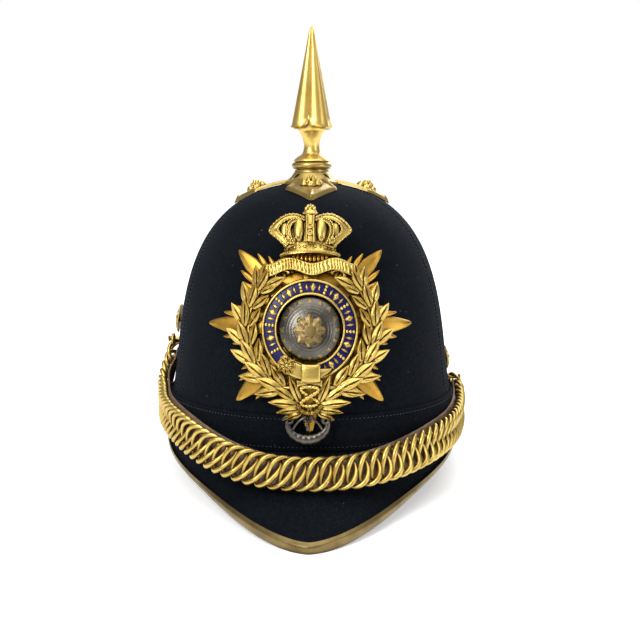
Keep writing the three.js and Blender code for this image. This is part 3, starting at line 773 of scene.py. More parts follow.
# a strip folded over the rim: section points are (inwards from the rim, lift off the peak's upper face)
def buildBinding(name, run, node, material, slotName, lipRise, edge):
    slack, lip = binding["slack"], binding["lip"]
    under = -peak["thickness"] - slack
    top = slack + lip
    middle = (top + under - lip) / 2
    section = [
        (edge, slack), (edge + 0.2, slack + 0.4), (edge - 0.1, top + lipRise), (edge - 0.5, top + lipRise),
        (edge - 0.9, top), (0.5, top),
    ]
    for i in range(9):
        turn = radians(80 - 20 * i)
        section.append((-0.1 - (binding["nose"] - 0.1) * cos(turn), middle + (top - middle) * sin(turn)))
    section += [
        (1.2, under - lip), (edge - 0.2, under - lip), (edge, under - 0.3), (edge, under), (-slack, under),
        (-slack, slack), (edge, slack),
    ]

    def place(u, v):
        inwards, lift = rowAt(section, v)
        angle = run(u)
        if inwards > 0:
            point = peakPoint(angle, 1 - inwards / peakLength(angle), lift)
        else:
            point = peakPoint(angle, 1, lift, -inwards)
        point.z = max(point.z, 0)
        return point

    piece = formed(name, 150, len(section) - 1, place, [material], capped=True, sharp=50)
    settle(piece, slotName, node)


buildPeak("frontPeak", frontRun, "front_peak", greenHide)
buildPeak("backPeak", backRun, "back_peak", patent)
buildBinding("frontBinding", frontRun, "front_peak_binding", oldGilt, "old_gilt", 0.2, binding["frontEdge"])
buildBinding("backBinding", backRun, "back_peak_binding", patent, "patent", 0, peak["edge"])


backBar = {
    "halfWidth": 3.2,
    "height": 1.9,
    "lift": 0.5,
    "overBand": 0.6,
    "domeRows": (0.906, 0.885, 0.85, 0.8, 0.75, 0.66, 0.6, 0.5, 0.42, 0.32, 0.22, 0.13),
    "peakRows": (0.2, 0.33, 0.5, 0.66, 0.83),
}


def buildBackBar():
    overBand = band["thickness"] + backBar["overBand"]
    edge = 1 - peak["edge"] / peakLength(pi)

    # down the middle of the back, from the cross-piece over the band to the rim
    def middleLine(lift):
        over = lift + backBar["lift"]
        line = [domePoint(pi, h, over) for h in backBar["domeRows"]] + [domePoint(pi, 0.05, lift + overBand)]
        line += [bandSpot(pi, overBand + lift, share) for share in (1, 0.5, 0)]
        line += [peakPoint(pi, t * edge, over) for t in backBar["peakRows"]]
        return line + [peakPoint(pi, edge, over, -0.6)]

    lines = {}

    def place(u, v):
        turn = tau * u
        lift = backBar["height"] * max(0.0, sin(turn)) ** 0.6
        if lift not in lines:
            lines[lift] = middleLine(lift)
        return splinePoint(lines[lift], v) + vec(backBar["halfWidth"] * cos(turn), 0, 0)

    settle(formed("backBar", 24, 110, place, capped=True), "gilt", "back_bar")


buildBackBar()
print("peaks and bindings done")


# roses

roseForm = {
    "floor": 0.12,
    "eye": 0.2,
    "eyeFoot": 0.55,
    # height, start and length of a ring of petals
    "outer": (0.55, 0.34, 0.70),
    "inner": (0.82, 0.14, 0.52),
    "vein": 0.10,
    "notch": 0.17,
}


# height of a struck rose of two rings of petals round an eye, at a share of its radius
def roseRelief(share, turn, petals):
    def ring(wave, height, start, length):
        return height * wave * max(0.0, sin(pi * (share - start) / length))

    outer = abs(cos(petals * turn / 2))
    inner = abs(sin(petals * turn / 2))
    vein = roseForm["vein"] * exp(-((outer - 1) / 0.03) ** 2) * (share > 0.5)
    low = ring(outer ** 0.6, *roseForm["outer"]) - vein
    high = ring(inner ** 0.7, *roseForm["inner"])
    eye = 0.0
    if share < roseForm["eye"]:
        eye = mix(roseForm["eyeFoot"], 1, sqrt(1 - (share / roseForm["eye"]) ** 2))
    return max(low, high, eye, roseForm["floor"])


def roseRim(turn, petals):
    return 1 - roseForm["notch"] * (1 - abs(cos(petals * turn / 2)) ** 0.7)


# a rose drawn at the origin, facing +z
def makeRose(name, radius, height, petals, material, around=72, rings=16, foot=0.0):
    def place(u, v):
        turn = tau * u
        row = v * (rings + 3)
        share = min(1.0, row / rings)
        reach = radius * share * mix(1, roseRim(turn, petals), share)
        z = height * roseRelief(share, turn, petals)
        if row > rings + 0.5:
            z = foot
            reach = reach if row < rings + 1.5 else reach * max(0.0, rings + 3 - row) / 2
        return vec(reach * sin(turn), reach * cos(turn), z)
    return formed(name, around, rings + 3, place, [material], sharp=55)


# cross-piece, collar, ring and spike

cross = {
    "start": 8.0,
    "thick": 1.6,
    "longArm": {"reach": 58.5, "halfWidth": 15.0, "corner": 37.0},
    "sideArm": {"reach": 47.5, "halfWidth": 14.0, "corner": 34.0},
    "rootShare": 0.55,
    "lift": 0.5,
    "rim": 0.95,
    "rimInset": 1.5,
    "rimHalf": 0.85,
    "spine": 1.1,
    "spineHalf": 0.9,
    "crease": 0.8,
    "rose": {"radius": 6.9, "height": 5.4, "petals": 6, "along": 33.5, "seat": 2.3},
}
ringLow, ringHigh = boxOf("spike_ring")
spikeLow, spikeHigh = boxOf("spike")
finial = {
    "ringZ": (ringLow.z + ringHigh.z) / 2,
    "tube": (ringHigh.z - ringLow.z) / 2,
    "ringReach": ringHigh.x,
    "neckZ": 194.5,
    "skirtZ": 203.8,
    "skirtRadius": 13.5,
    "scallop": 3.2,
    "turn": -11.0,
    "valley": 0.73,
    "wall": 1.1,
    "hemLip": 0.04,
    "tipRound": 3.2,
    "tipZ": spikeHigh.z,
}


# how far along an arm of the cross, and half its width there: it widens to its corners, then points
def armShape(arm, u):
    if u < 0.5:
        part = 2 * u
        wide = cross["rootShare"] + (1 - cross["rootShare"]) * part ** 1.6
        return mix(cross["start"], arm["corner"], part), arm["halfWidth"] * wide
    part = 2 * u - 1
    return mix(arm["corner"], arm["reach"], part), arm["halfWidth"] * max(0.0, 1 - part) ** 0.9


def buildCross():
    columns = 44
    topColumns = 36

    def place(u, v, angle, arm):
        out, half = armShape(arm, v)
        half = max(0.05, half)
        column = round(u * columns)
        if column <= topColumns:
            s = 1 - 2 * column / topColumns
            x = half * copysign(abs(s) ** 0.8, s)
            fromEdge = min(half - abs(x), (arm["reach"] - out) * 0.75)
            rim = cross["rim"] * exp(-(((fromEdge - cross["rimInset"]) / cross["rimHalf"]) ** 2)) * min(1, half / 2)
            slope = min(1, max(0.0, fromEdge) / 0.7)
            spine = cross["spine"] * exp(-((x / cross["spineHalf"]) ** 2)) * max(0.0, 2 * v - 1) * min(1, half / 3)
            crease = cross["crease"] * max(0.0, 1 - abs(x) / (0.8 * half + 0.1)) * (0.3 + 0.7 * v)
            lift = cross["thick"] * slope * 0.7 + rim + crease + spine
        else:
            x = half * (2 * (column - topColumns) / (columns - topColumns) - 1)
            lift = 0.0
        px = x * cos(angle) + out * sin(angle)
        py = x * sin(angle) - out * cos(angle)
        return vec(px, py, domeHeight(px, py) + cross["lift"] + lift)

    arms = []
    for quarter in range(4):
        angle = quarter * pi / 2
        arm = cross["sideArm"] if quarter % 2 else cross["longArm"]
        arms.append(formed(
            "arm", columns, 44, lambda u, v, a=angle, arm=arm: place(u, v, a, arm), [crossGilt], capped=True, sharp=60
        ))
    return arms


slots = {"halfLong": 2.0, "halfWide": 0.7, "slant": 38.0, "turn": 50.0, "z": 175.4, "deep": 1.5}


# how deep a point of the collar lies in one of its four slanting slots
def slotDepth(angle, z, radius):
    deepest = 0.0
    for half in range(2):
        for side in (-1, 1):
            middle = half * pi + side * radians(slots["turn"])
            across = atan2(sin(angle - middle), cos(angle - middle)) * radius
            up = z - slots["z"]
            slant = -side * radians(slots["slant"]) if half == 0 else side * radians(slots["slant"])
            p = across * cos(slant) + up * sin(slant)
            q = -across * sin(slant) + up * cos(slant)
            share = (p / slots["halfLong"]) ** 2 + (q / slots["halfWide"]) ** 2
            deepest = max(deepest, min(1.0, 1.6 - share))
    return max(0.0, deepest)


def buildCollar():
    foot = body["top"] + 0.2
    top = finial["ringZ"] - finial["tube"] - 0.3
    profile = flat([
        (18.6, foot - 1.6), (17.6, foot + 0.5), (14.6, foot + 1.7), (12.5, foot + 3.4), (11.0, foot + 5.6),
        (10.4, top - 1.2), (10.2, top),
    ])
    rows = 56
    spigot = {"radius": 9.3, "rise": 1.0}
    lid = ((spigot["radius"], 0), (spigot["radius"], spigot["rise"]), (0, spigot["rise"]))

    def surface(angle, share):
        at = splinePoint(profile, share)
        depth = slotDepth(angle, at.z, at.x)
        return at.x - slots["deep"] * depth ** 0.6, at.z, depth

    def place(u, v):
        angle = tau * u
        row = round(v * (rows + 3))
        if row <= rows:
            r, z, depth = surface(angle, row / rows)
            return spot(angle, r, z)
        r, up = lid[row - rows - 1]
        return spot(angle, r, top + up)

    def paint(u, v):
        share = v * (rows + 3) / rows
        return int(share < 1 and surface(tau * u, share)[2] > 0.55)

    # the slot bottoms take the painted shadow material
    looks = [crossGilt, makeShadow("slotShadow")]
    collar = formed("collar", 288, rows + 3, place, looks, paint, capped=True, sharp=60)
    settle(joined("crossPiece", buildCross() + [collar]), "gilt", "cross_base")


def buildArmRoses():
    shape = cross["rose"]
    along = shape["along"]
    half = 4
    for way, (x, y) in {"front": (0, -1), "left": (1, 0), "back": (0, 1), "right": (-1, 0)}.items():
        rose = makeRose("armRose_" + way, shape["radius"], shape["height"], shape["petals"], gilt, 84, 18)
        inner, outer = [domeHeight(x * r, y * r) for r in (along - half, along + half)]
        tilt = atan2(inner - outer, 2 * half)
        at = shift(x * along, y * along, (inner + outer) / 2 + shape["seat"])
        settle(moved(rose, at @ spin(-y * tilt, "X") @ spin(x * tilt, "Y")), "gilt", "arm_rose_" + way)


def buildRing():
    inner = finial["ringReach"] - 2 * finial["tube"]

    def place(u, v):
        angle = tau * v
        turn = tau * u
        reach = inner + finial["tube"] * (1 + cos(turn))
        return spot(angle, reach, finial["ringZ"] + finial["tube"] * sin(turn))

    settle(formed("spikeRing", 24, 120, place, [crossGilt]), "gilt", "spike_ring")


# share of its radius that the spike keeps at an angle: four draped flutes with sharp valleys
def flute(angle):
    return finial["valley"] + (1 - finial["valley"]) * abs(sin(2 * angle)) ** 0.95


def buildSpike():
    skirt = finial["skirtZ"]
    tip = finial["tipZ"]
    foot = spikeLow.z
    stem = flat([
        (0, foot - 0.2), (10.0, foot - 0.2), (10.9, foot + 0.4), (10.4, foot + 1.3), (8.3, foot + 3.0),
        (5.8, foot + 4.8), (4.85, foot + 7.6), (4.7, finial["neckZ"]), (5.5, skirt - 5.5), (6.9, skirt - 2.4),
        (8.0, skirt - 0.4), (8.0, skirt + 3.4),
    ])

    def placeStem(u, v):
        at = splinePoint(stem, v)
        return spot(tau * u, at.x, at.z)

    column = formed("stem", 64, 66, placeStem, [spikeGilt], capped=True, sharp=50)
    rows = 70

    def widthAt(up):
        left = tip - skirt - up
        straight = finial["skirtRadius"] * (1 - up / (tip - skirt + 5.0))
        return straight * min(1.0, max(0.0, left) / finial["tipRound"]) ** 0.6

    def place(u, v):
        angle = tau * u
        hem = finial["scallop"] * (1 - abs(sin(2 * angle)) ** 0.9)
        row = v * (rows + 8)
        turn = angle + radians(finial["turn"])
        if row <= rows:
            up = (tip - skirt) * (1 - row / rows)
            lip = 1 + finial["hemLip"] * exp(-((up - hem) / 1.2) ** 2)
            z = skirt + up + hem * (1 - up / (tip - skirt)) ** 3
            return spot(turn, widthAt(up) * flute(angle) * lip, z)
        inward = (row - rows) / 8
        r = mix(widthAt(0) * flute(angle) - finial["wall"], 7.4, max(0.0, inward - 0.2) / 0.8)
        return spot(turn, r, skirt + hem + 3.0 * inward ** 1.2)

    skirtPiece = formed("skirt", 128, rows + 8, place, [spikeGilt], capped=True, sharp=50)
    settle(joined("spike", [column, skirtPiece]), "gilt", "spike")


buildCollar()
buildArmRoses()
buildRing()
buildSpike()
print("cross-piece and spike done")


# plate: x across, up from the star's centre, front off the plate's own face

beltLow, beltHigh = boxOf("belt_ring")
plate = {
    "centreZ": (beltLow.z + beltHigh.z) / 2,
    "bottomZ": 42.0,
    "height": 119.0,
    "bottomY": 119.0,
    "lean": 8.8,
    "leanBack": 31.0,
    "sideRadius": 82.0,
    "seat": 2.5,
}


def onPlate(x, up, front):
    z = plate["centreZ"] + up
    t = (z - plate["bottomZ"]) / plate["height"]
    y = -plate["bottomY"] + plate["lean"] * t + plate["leanBack"] * t * t
    return vec(x, y + x * x / (2 * plate["sideRadius"]) - front, z)


def onHoop(turn, r, front):
    return onPlate(r * sin(turn), r * cos(turn), front)


# lays a piece that was drawn flat, x across, z up and -y to the front, on the plate
def layOnPlate(piece):
    return reshape(piece, lambda p: onPlate(p.x, p.z, -p.y))


def mount(name, parts, node, slotName="gilt"):
    settle(layOnPlate(joined(name, parts)), slotName, node)


# the same round the plate's centre, before it is laid on
def polar(turn, r, front):
    return vec(r * sin(turn), -front, r * cos(turn))


def turnedAt(turn, r, front, more=0):
    return shift(polar(turn, r, front)) @ spin(turn + more, "Y")


# share of the dome's height at which it reaches z
def shareAt(angle, z, step):
    h = 0.0
    while domePoint(angle, h).z < z:
        h += step
    return h


seat = plate["seat"]
star = {
    "radius": 54.0,
    "inner": 11.0,
    "lanceHalf": 4.3,
    "lanceTaper": 11.5,
    "lancePower": 0.6,
    "fingerStart": 29.0,
    "fingers": ((7.8, 0.855), (13.2, 0.775), (18.2, 0.70), (22.5, 0.66)),
    "fingerHalf": 1.5,
    "fingerHigh": 1.45,
    "thick": 1.5,
    "base": ((0, 0.6), (37, 0.6), (37.6, 0.2), (37, -0.2), (0, -0.2)),
    "posts": ((-34, 0), (34, 0), (0, 33)),
    "postRadius": 1.6,
}


# a lance along +z from the star's middle, with bevelled edges and a faint ridge
def makeLance():
    section = mirrored([(-1, 0.0), (-0.97, 0.35), (-0.8, 0.9), (-0.4, 1.0)], (0, 1.18)) + [(0, -0.2), (-1, 0.0)]

    def place(u, v):
        s, lift = rowAt(section, u)
        r = mix(star["inner"], star["radius"], 1 - (1 - v) ** 1.4)
        left = star["radius"] - r
        point = min(1, left / star["lanceTaper"]) ** star["lancePower"]
        half = star["lanceHalf"] * point * mix(0.7, 1, min(1, r / 36))
        return vec(s * half, -0.3 - star["thick"] * lift * min(1, left / 3 + 0.25), r)

    return formed("lance", len(section) - 1, 26, place, [starGilt], capped=True, sharp=28)


def makeFinger(reach):
    def place(u, v):
        turn = pi * (u * 1.25)
        r = mix(star["fingerStart"], star["radius"] * reach, 1 - (1 - v) ** 1.3)
        left = star["radius"] * reach - r
        half = star["fingerHalf"] * min(1, left / 4.5) ** 0.6
        lift = sin(turn) if turn < pi else 0
        x = cos(turn) if turn < pi else mix(-1, 1, (turn - pi) / (pi / 4))
        return vec(half * x, -0.2 - star["fingerHigh"] * lift * min(1, left / 2.5 + 0.2), r)

    return formed("finger", 12, 16, place, [starGilt], capped=True, sharp=60)


def buildStar():
    rays = copiesOf(makeLance(), [spin(i * pi / 4, "Y") for i in range(8)])
    for angle, reach in star["fingers"]:
        sides = (-1, 1) if angle < 22 else (1,)
        turns = [i * pi / 4 + side * radians(angle) for i in range(8) for side in sides]
        rays += copiesOf(makeFinger(reach), [spin(turn, "Y") for turn in turns])
    base = formed("base", 96, 4, lambda u, v: polar(tau * u, *rowAt(star["base"], v)), [starGilt], sharp=50)
    parts = [layOnPlate(joined("rays", rays + [base]))]
    for x, up in star["posts"]:
        front = onPlate(x, up, 0)
        angle = atan2(front.x, -front.y)
        back = domePoint(angle, shareAt(angle, front.z, 0.002), 0.2)
        post = primitive(
            bpy.ops.mesh.primitive_cylinder_add, starGilt, vertices=20, radius=star["postRadius"],
            depth=(front - back).length,
        )
        turn = (front - back).to_track_quat("Z", "Y").to_matrix().to_4x4()
        parts.append(moved(bevelled(post, 0.2), shift((front + back) / 2) @ turn))
    settle(joined("rayedStar", parts), "gilt", "star_plate")


belt = {
    "outer": 25.0,
    "inner": 16.9,
    "rim": 1.4,
    "height": 3.0,
    "bed": 1.4,
    "motifs": 40,
    "bare": (160, 232),
    "dotPitch": 1.75,
}
belt["middle"] = (belt["outer"] + belt["inner"]) / 2


# rim of half-round section round the plate's centre
def plateHoop(name, radius, steps):
    def place(u, v):
        across, lift = superSection(u, belt["rim"] / 2, belt["height"] / 2, 0.8)
        return onHoop(tau * v, radius + across, seat + belt["height"] / 2 + lift)
    return formed(name, 16, steps, place, sharp=60)


# a four-sided lozenge with a raised ridge, drawn at the origin facing -y
def makeLozenge(halfWide, halfTall, height):
    add = bpy.ops.mesh.primitive_cone_add
    piece = bevelled(primitive(add, gilt, vertices=4, radius1=1, radius2=0.35, depth=1), 0.08)
    return cleanUp(moved(piece, stretch(halfWide, height, halfTall) @ faceFront), sharp=30)


def buildBelt():
    middle = belt["middle"]
    rims = [
        plateHoop("outerRim", belt["outer"] - belt["rim"] / 2, 120),
        plateHoop("innerRim", belt["inner"] + belt["rim"] / 2, 100),
    ]
    front = seat + belt["bed"] + 0.75
    bareFrom, bareTo = [radians(angle) for angle in belt["bare"]]
    lozenges, bars, dots = [], [], []
    for i in range(belt["motifs"]):
        turn = tau * (i + 0.5) / belt["motifs"]
        if bareFrom < turn < bareTo:
            continue
        if i % 4 == 2:
            dots += [shift(polar(turn, middle + step * belt["dotPitch"], front - 0.4)) for step in (-1, 0, 1)]
        else:
            (bars if i % 2 else lozenges).append(turnedAt(turn, middle, front))
    motifs = copiesOf(makeLozenge(2.0, 2.8, 1.1), lozenges) + copiesOf(bead(0.95), dots)
    motifs += copiesOf(makeLozenge(1.0, 2.8, 1.0), bars)
    settle(joined("beltRing", rims + [layOnPlate(joined("motifs", motifs))]), "gilt", "belt_ring")

    def placeBed(u, v):
        across, lift = superSection(u, middle - belt["inner"] - belt["rim"] + 0.25, belt["bed"] / 2, 0.35)
        return onHoop(tau * v, middle + across, seat + 0.3 + belt["bed"] / 2 + lift)

    settle(formed("enamelBand", 20, 120, placeBed, [enamel], sharp=50), "enamel", "enamel_band")


boss = {
    "radius": 16.1,
    "height": 6.2,
    "petals": 8,
    "rosette": 0.29,
    "disc": 0.84 * 0.29,
    "darts": 16,
    "dartShares": (0.62, 0.84),
    "dartHalf": 0.58,
    "dartLift": 0.28,
    "eye": 0.13,
    "eyeLift": 0.75,
    "engraved": 0.09,
    "circles": 13,
    "rays": 24,
}


# domed boss: dark metal engraved with rings, a gilt rosette at its middle and gilt darts round its edge
def buildBoss():
    rings = 60

    def onGilt(share, turn):
        if share < boss["disc"]:
            return True
        wave = abs(cos(boss["petals"] * turn / 2))
        if share < boss["rosette"] * (0.84 + 0.36 * wave ** 1.4):
            return True
        across = abs(sin(boss["darts"] * turn / 2))
        start, end = boss["dartShares"]
        return start < share < end and across < boss["dartHalf"] * (end - share) / (end - start) + 0.06

    def relief(share, turn):
        if not onGilt(share, turn):
            ray = max(0.0, cos(turn * boss["rays"])) ** 8 * share
            return boss["engraved"] * (cos(share * tau * boss["circles"]) * (1 - share) - ray)
        if share > boss["dartShares"][0]:
            return boss["dartLift"]
        spine = abs(cos(boss["petals"] * turn / 2))
        if share < boss["eye"]:
            return boss["eyeLift"]
        groove = -0.35 * (1 - spine) ** 1.5 if share < boss["disc"] else 0
        return 0.34 + 0.30 * spine ** 5 + groove + 0.16 * cos(share * pi * 12)

    def place(u, v):
        turn = tau * u
        row = v * (rings + 2)
        share = min(1, row / rings)
        r = boss["radius"] * sin(share * pi / 2)
        front = seat + 0.9 + boss["height"] * cos(share * pi / 2)
        if row <= rings:
            front += relief(share, turn)
        else:
            front = seat + 0.1
            r = r if row < rings + 1.5 else 0
        return onHoop(turn, r, front)

    def paint(u, v):
        return int(onGilt(v * (rings + 2) / rings, tau * u))

    settle(formed("domedBoss", 256, rings + 2, place, [silver, oldGilt], paint, sharp=40), "silver", "boss")


leaf = {"edge": 0.30, "swell": 0.55, "midrib": 0.38, "midribHalf": 0.16, "vein": 0.16, "veins": 3.1, "veinSlant": 5}


# one leaf along +z from the origin, 1 long and 1 wide, facing -y, with a midrib and side veins
def makeLeaf():
    columns = 16
    topColumns = 12

    def place(u, v):
        column = round(u * columns)
        outline = sin(pi * min(1, 0.06 + 0.94 * v) ** 0.86) ** 0.82
        half = 0.5 * max(0.012, outline)
        if column <= topColumns:
            s = 1 - 2 * column / topColumns
            dome = (1 - abs(s) ** 2.4) ** 0.7
            groove = leaf["midrib"] * exp(-((s / leaf["midribHalf"]) ** 2))
            vein = leaf["vein"] * cos(leaf["veins"] * pi * abs(s) - leaf["veinSlant"] * v) * (1 - s * s)
            lift = dome * (leaf["edge"] + leaf["swell"] * outline) - groove * outline + vein * outline
        else:
            s = 2 * (column - topColumns) / (columns - topColumns) - 1
            lift = -0.05
        return vec(s * half, -lift, v)

    return formed("leaf", columns, 14, place, capped=True, sharp=70)


# buckle of the belt

buckle = {
    "turn": 214,
    "frame": (3.6, 3.1, 0.5),
    "beads": 14,
    "prong": (6.4, 0.9, 1.1),
    "leaf": (2.9, 1.6, 5.3),
    "strap": (207, 150),
    "strapHalf": 3.5,
    "keeperHalf": 4.9,
    "keeperTall": 4.3,
    "keeperUp": -21.3,
}


def buildBuckle():
    front = seat + belt["height"]

    def frameRoute(share):
        x, z = superSection(share, *buckle["frame"])
        return vec(x, 0, z)

    hoop = wire("buckleFrame", frameRoute, 48, 0.95, 10, closedLoop=True)
    beads = smallBeads(0.62, [frameRoute(i / buckle["beads"]) + vec(0, -0.75, 0) for i in range(buckle["beads"])])
    prong = primitive(bpy.ops.mesh.primitive_cube_add, gilt, size=1, scale=buckle["prong"], location=(2.2, -0.5, 0))
    bpy.ops.object.transform_apply(location=True, scale=True)
    bevelled(prong, 0.4, 3)
    wide, thick, tall = buckle["leaf"]
    sprigs = [
        shift(0, -0.4, 0) @ spin(radians(45 * i + 22), "Y") @ spin(radians(7), "X")
        @ stretch(wide, thick, tall - 0.6 * (i % 2))
        for i in range(8)
    ]
    eye = moved(bead(1.0), shift(0, -1.2, 0))
    clasp = joined("clasp", [hoop] + beads + [prong, eye] + copiesOf(makeLeaf(), sprigs))
    moved(clasp, turnedAt(radians(buckle["turn"]), belt["middle"], front + 0.7, -pi))

    # the strap comes out of the keeper and its end tapers under the ring
    def placeStrap(u, v):
        half = buckle["strapHalf"] * min(1, (1 - v) / 0.55 + 0.02) ** 0.7
        x, lift = superSection(u, half, 0.75, 0.55)
        ridge = 0.25 * exp(-((abs(x) - half * 0.72) / 0.4) ** 2) if lift > 0 else 0
        return polar(radians(mix(*buckle["strap"], v)), belt["middle"] + x + 1.2 * v, front + 0.7 + lift + ridge)

    def placeKeeper(u, v):
        tall = buckle["keeperTall"]
        x, lift = superSection(u, buckle["keeperHalf"], 1.5, 0.5)
        up = mix(-tall, tall, v)
        swell = 0.75 + 0.5 * (1 - (up / tall) ** 4)
        stipple = 0.12 * sin(x * 4.4) * sin(up * 4.4) if lift > 0.7 else 0
        return vec(x + 0.6, -front - 1.4 - (lift * swell + stipple), up + buckle["keeperUp"] + 0.02 * x * x)

    strap = formed("strapEnd", 28, 30, placeStrap, capped=True, sharp=60)
    keeper = formed("keeper", 40, 26, placeKeeper, capped=True, sharp=50)
    mount("beltBuckle", [clasp, strap, keeper], "belt_buckle")


buildStar()
buildBelt()
buildBoss()
buildBuckle()
print("star, belt and boss done")


# laurel wreath

wreath = {
    "radius": 32.0,
    "first": 156.0,
    "last": 56.0,
    "nodes": 7,
    # splay, length, width, front
    "leaves": ((2, 14.0, 5.4, 1.7), (34, 14.2, 5.5, 0.9), (-31, 12.0, 4.9, 0.9)),
    # along and across from a node
    "berries": ((5.5, 3.6), (4.2, -3.4)),
    # x and up from the end of the stem, turn, length, width, front
    "ends": ((1, -2, -64, 13.0, 5.2, 1.2), (2.5, 1, -14, 10.0, 4.6, 1.0)),
    # x, up, turn, length, width of the long leaves where the stems cross
    "crossing": (
        (5.0, -37.5, 86, 16.5, 5.2), (4.5, -39.5, 99, 13.0, 4.2), (4.0, -41.5, 112, 9.5, 3.8),
        (4.6, -37.0, 22, 16.0, 5.0), (8.0, -35.0, 58, 14.0, 5.0),
    ),
}


# where a leaf goes: its foot, its heading from straight up, length, width, height and how it tips forward
def leafMatrix(x, up, turn, length, width, height, front, tip=8.0):
    at = shift(x, -seat - front, up) @ spin(turn, "Y")
    return at @ spin(radians(tip), "X") @ stretch(width, height, length)


def buildWreath(name, node, side):
    leaves = []
    berries = []

    def addLeaf(x, up, turn, *sizes):
        leaves.append(leafMatrix(side * x, up, side * turn, *sizes))

    for i in range(wreath["nodes"]):
        share = i / (wreath["nodes"] - 1)
        turn = radians(mix(wreath["first"], wreath["last"], share))
        r = wreath["radius"] + 0.8 * sin(pi * share)
        x = r * sin(turn)
        up = r * cos(turn)
        heading = turn - pi / 2
        sway = 4 * sin(i * 2.4)
        grow = mix(1.1, 0.92, share)
        for splay, length, width, front in wreath["leaves"]:
            off = 1.1 * (splay > 0) - 1.0 * (splay < 0)
            angle = heading + radians(splay + sway)
            addLeaf(x + off * sin(turn), up + off * cos(turn), angle, length * grow, width * grow, 2.1, front)
        if i % 2 == 0:
            for along, across in wreath["berries"]:
                bx = x + along * sin(heading) + across * cos(heading)
                bu = up + along * cos(heading) - across * sin(heading)
                berries.append(shift(side * bx, -seat - 2.0, bu))
    end = radians(wreath["last"] - 10)
    for x, up, turn, length, width, front in wreath["ends"]:
        r = wreath["radius"]
        addLeaf(r * sin(end) + x, r * cos(end) + up, radians(turn), length, width, 2.0, front)
    for x, up, turn, length, width in wreath["crossing"]:
        addLeaf(x, up, radians(turn), length, width, 2.1, 1.1)

    def stemRoute(share):
        turn = radians(mix(wreath["first"] + 14, wreath["last"] - 4, share))
        return polar(side * turn, wreath["radius"] - 3 * max(0.0, 0.12 - share) / 0.12, seat + 1.0)

    stem = wire("stem", stemRoute, 60, 0.95, 10)
    mount(name, copiesOf(makeLeaf(), leaves) + copiesOf(bead(0.95), berries) + [stem], node)


buildWreath("wreathLeft", "wreath_left", 1)
buildWreath("wreathRight", "wreath_right", -1)
print("wreath done")


# crown

crown = {
    "squash": 0.40,
    "bandRadius": 13.2,
    "footRadius": 14.9,
    "footZ": 35.0,
    "bandZ": 41.0,
    "wideZ": 49.2,
    "arc": 3.4,
    "outerEdge": ((13.0, 41.2), (17.6, 45.0), (21.9, 48.9), (18.9, 53.3), (12.8, 57.3), (7.4, 57.7), (2.4, 55.8)),
    "innerEdge": ((9.0, 43.4), (13.2, 46.4), (16.2, 49.2), (15.4, 51.8), (11.4, 54.6), (7.0, 55.2), (2.4, 54.2)),
    "middleOut": ((10.2, 42.0), (12.2, 47.0), (12.6, 51.0), (10.4, 54.6), (5.4, 56.2)),
    "middleIn": ((8.0, 42.2), (9.9, 47.0), (10.3, 50.6), (8.6, 53.4), (4.6, 54.6)),
    "centre": ((-2.7, 43.0), (-2.5, 46.5), (-2.3, 50.0), (-2.2, 53.5), (-2.4, 57.0)),
    # x, up, half width, half height, depth
    "puffs": ((5.9, 49.9, 3.1, 6.6, 5.6), (13.4, 49.6, 2.2, 4.3, 3.0)),
    # out and up round the band's section
    "band": (
        (0.5, 0.0), (1.0, -0.1), (1.5, 0.7), (1.1, 1.5), (0.4, 1.9), (0.1, 2.4), (0.0, 3.2), (0.05, 4.4), (0.1, 4.9),
        (0.75, 5.3), (0.9, 5.9), (0.5, 6.5), (-0.6, 6.8), (-1.6, 6.2), (-1.6, 0.6), (0.5, 0.0),
    ),
    "under": ((13.9, 0.4), (13.9, 1.2), (1.0, 1.2), (1.0, 0.4), (13.9, 0.4)),
    "hoops": (50.6, 47.2),
    "flowers": (-11.4, -6.0, 6.0, 11.4),
    "ball": (3.7, 2.6, 2.5),
    "ballZ": 57.9,
    "jewels": 13,
    "jewelSpread": 72,
    "strapPearl": 0.62,
    "bandPearl": 0.55,
    "ballPearl": 0.45,
    "tipBall": 1.05,
    "tips": ((-2.1, 0.0), (2.1, 0.0), (-1.2, 1.1), (1.2, 1.1), (0, 0)),
}


# a spot on the crown's half-round front: turn 0 faces the viewer, and lower parts bow up there
def crownSpot(turn, r, up):
    bow = crown["arc"] * cos(turn) * max(0.0, min(1.0, (crown["wideZ"] + 4 - up) / 16))
    return vec(r * sin(turn), -(seat + 0.4 + r * crown["squash"] * cos(turn)), up + bow)


# how far the crown's cap and straps stand out over a spot
def crownFront(x, up):
    across = min(1.0, abs(x) / 23.5)
    over = 1 - max(0.0, (up - 52) / 9) ** 2
    return seat + 1.2 + 5.0 * sqrt(1 - across ** 2) * max(0.2, over)


# the same as a place, some way off the cap
def onCrown(x, up, off):
    return shift(x, -(crownFront(x, up) + off), up)


# a strap between two edges, with a raised bead line along each
def crownStrap(side, outside, inside, lift):
    outer = flat(outside)
    inner = flat(inside)
    section = [
        (0.0, -1.2), (0.0, 0.5), (0.10, 0.9), (0.22, 0.85), (0.30, 0.3), (0.5, 0.42), (0.70, 0.3), (0.78, 0.85),
        (0.90, 0.9), (1.0, 0.5), (1.0, -1.2), (0.0, -1.2),
    ]

    def at(v, share, over):
        point = splinePoint(outer, v).lerp(splinePoint(inner, v), share)
        bow = crown["arc"] * max(0.0, 1 - point.x / 14) * max(0.0, (46 - point.z) / 10)
        return vec(side * point.x, -(crownFront(point.x, point.z) + lift + over), point.z + bow)

    strap = formed(
        "strap", len(section) - 1, 50, lambda u, v: at(v, *rowAt(section, u)), capped=True, sharp=50
    )
    return strap, [at(0.03 + 0.94 * i / 15, share, 0.75) for i in range(16) for share in (0.12, 0.88)]


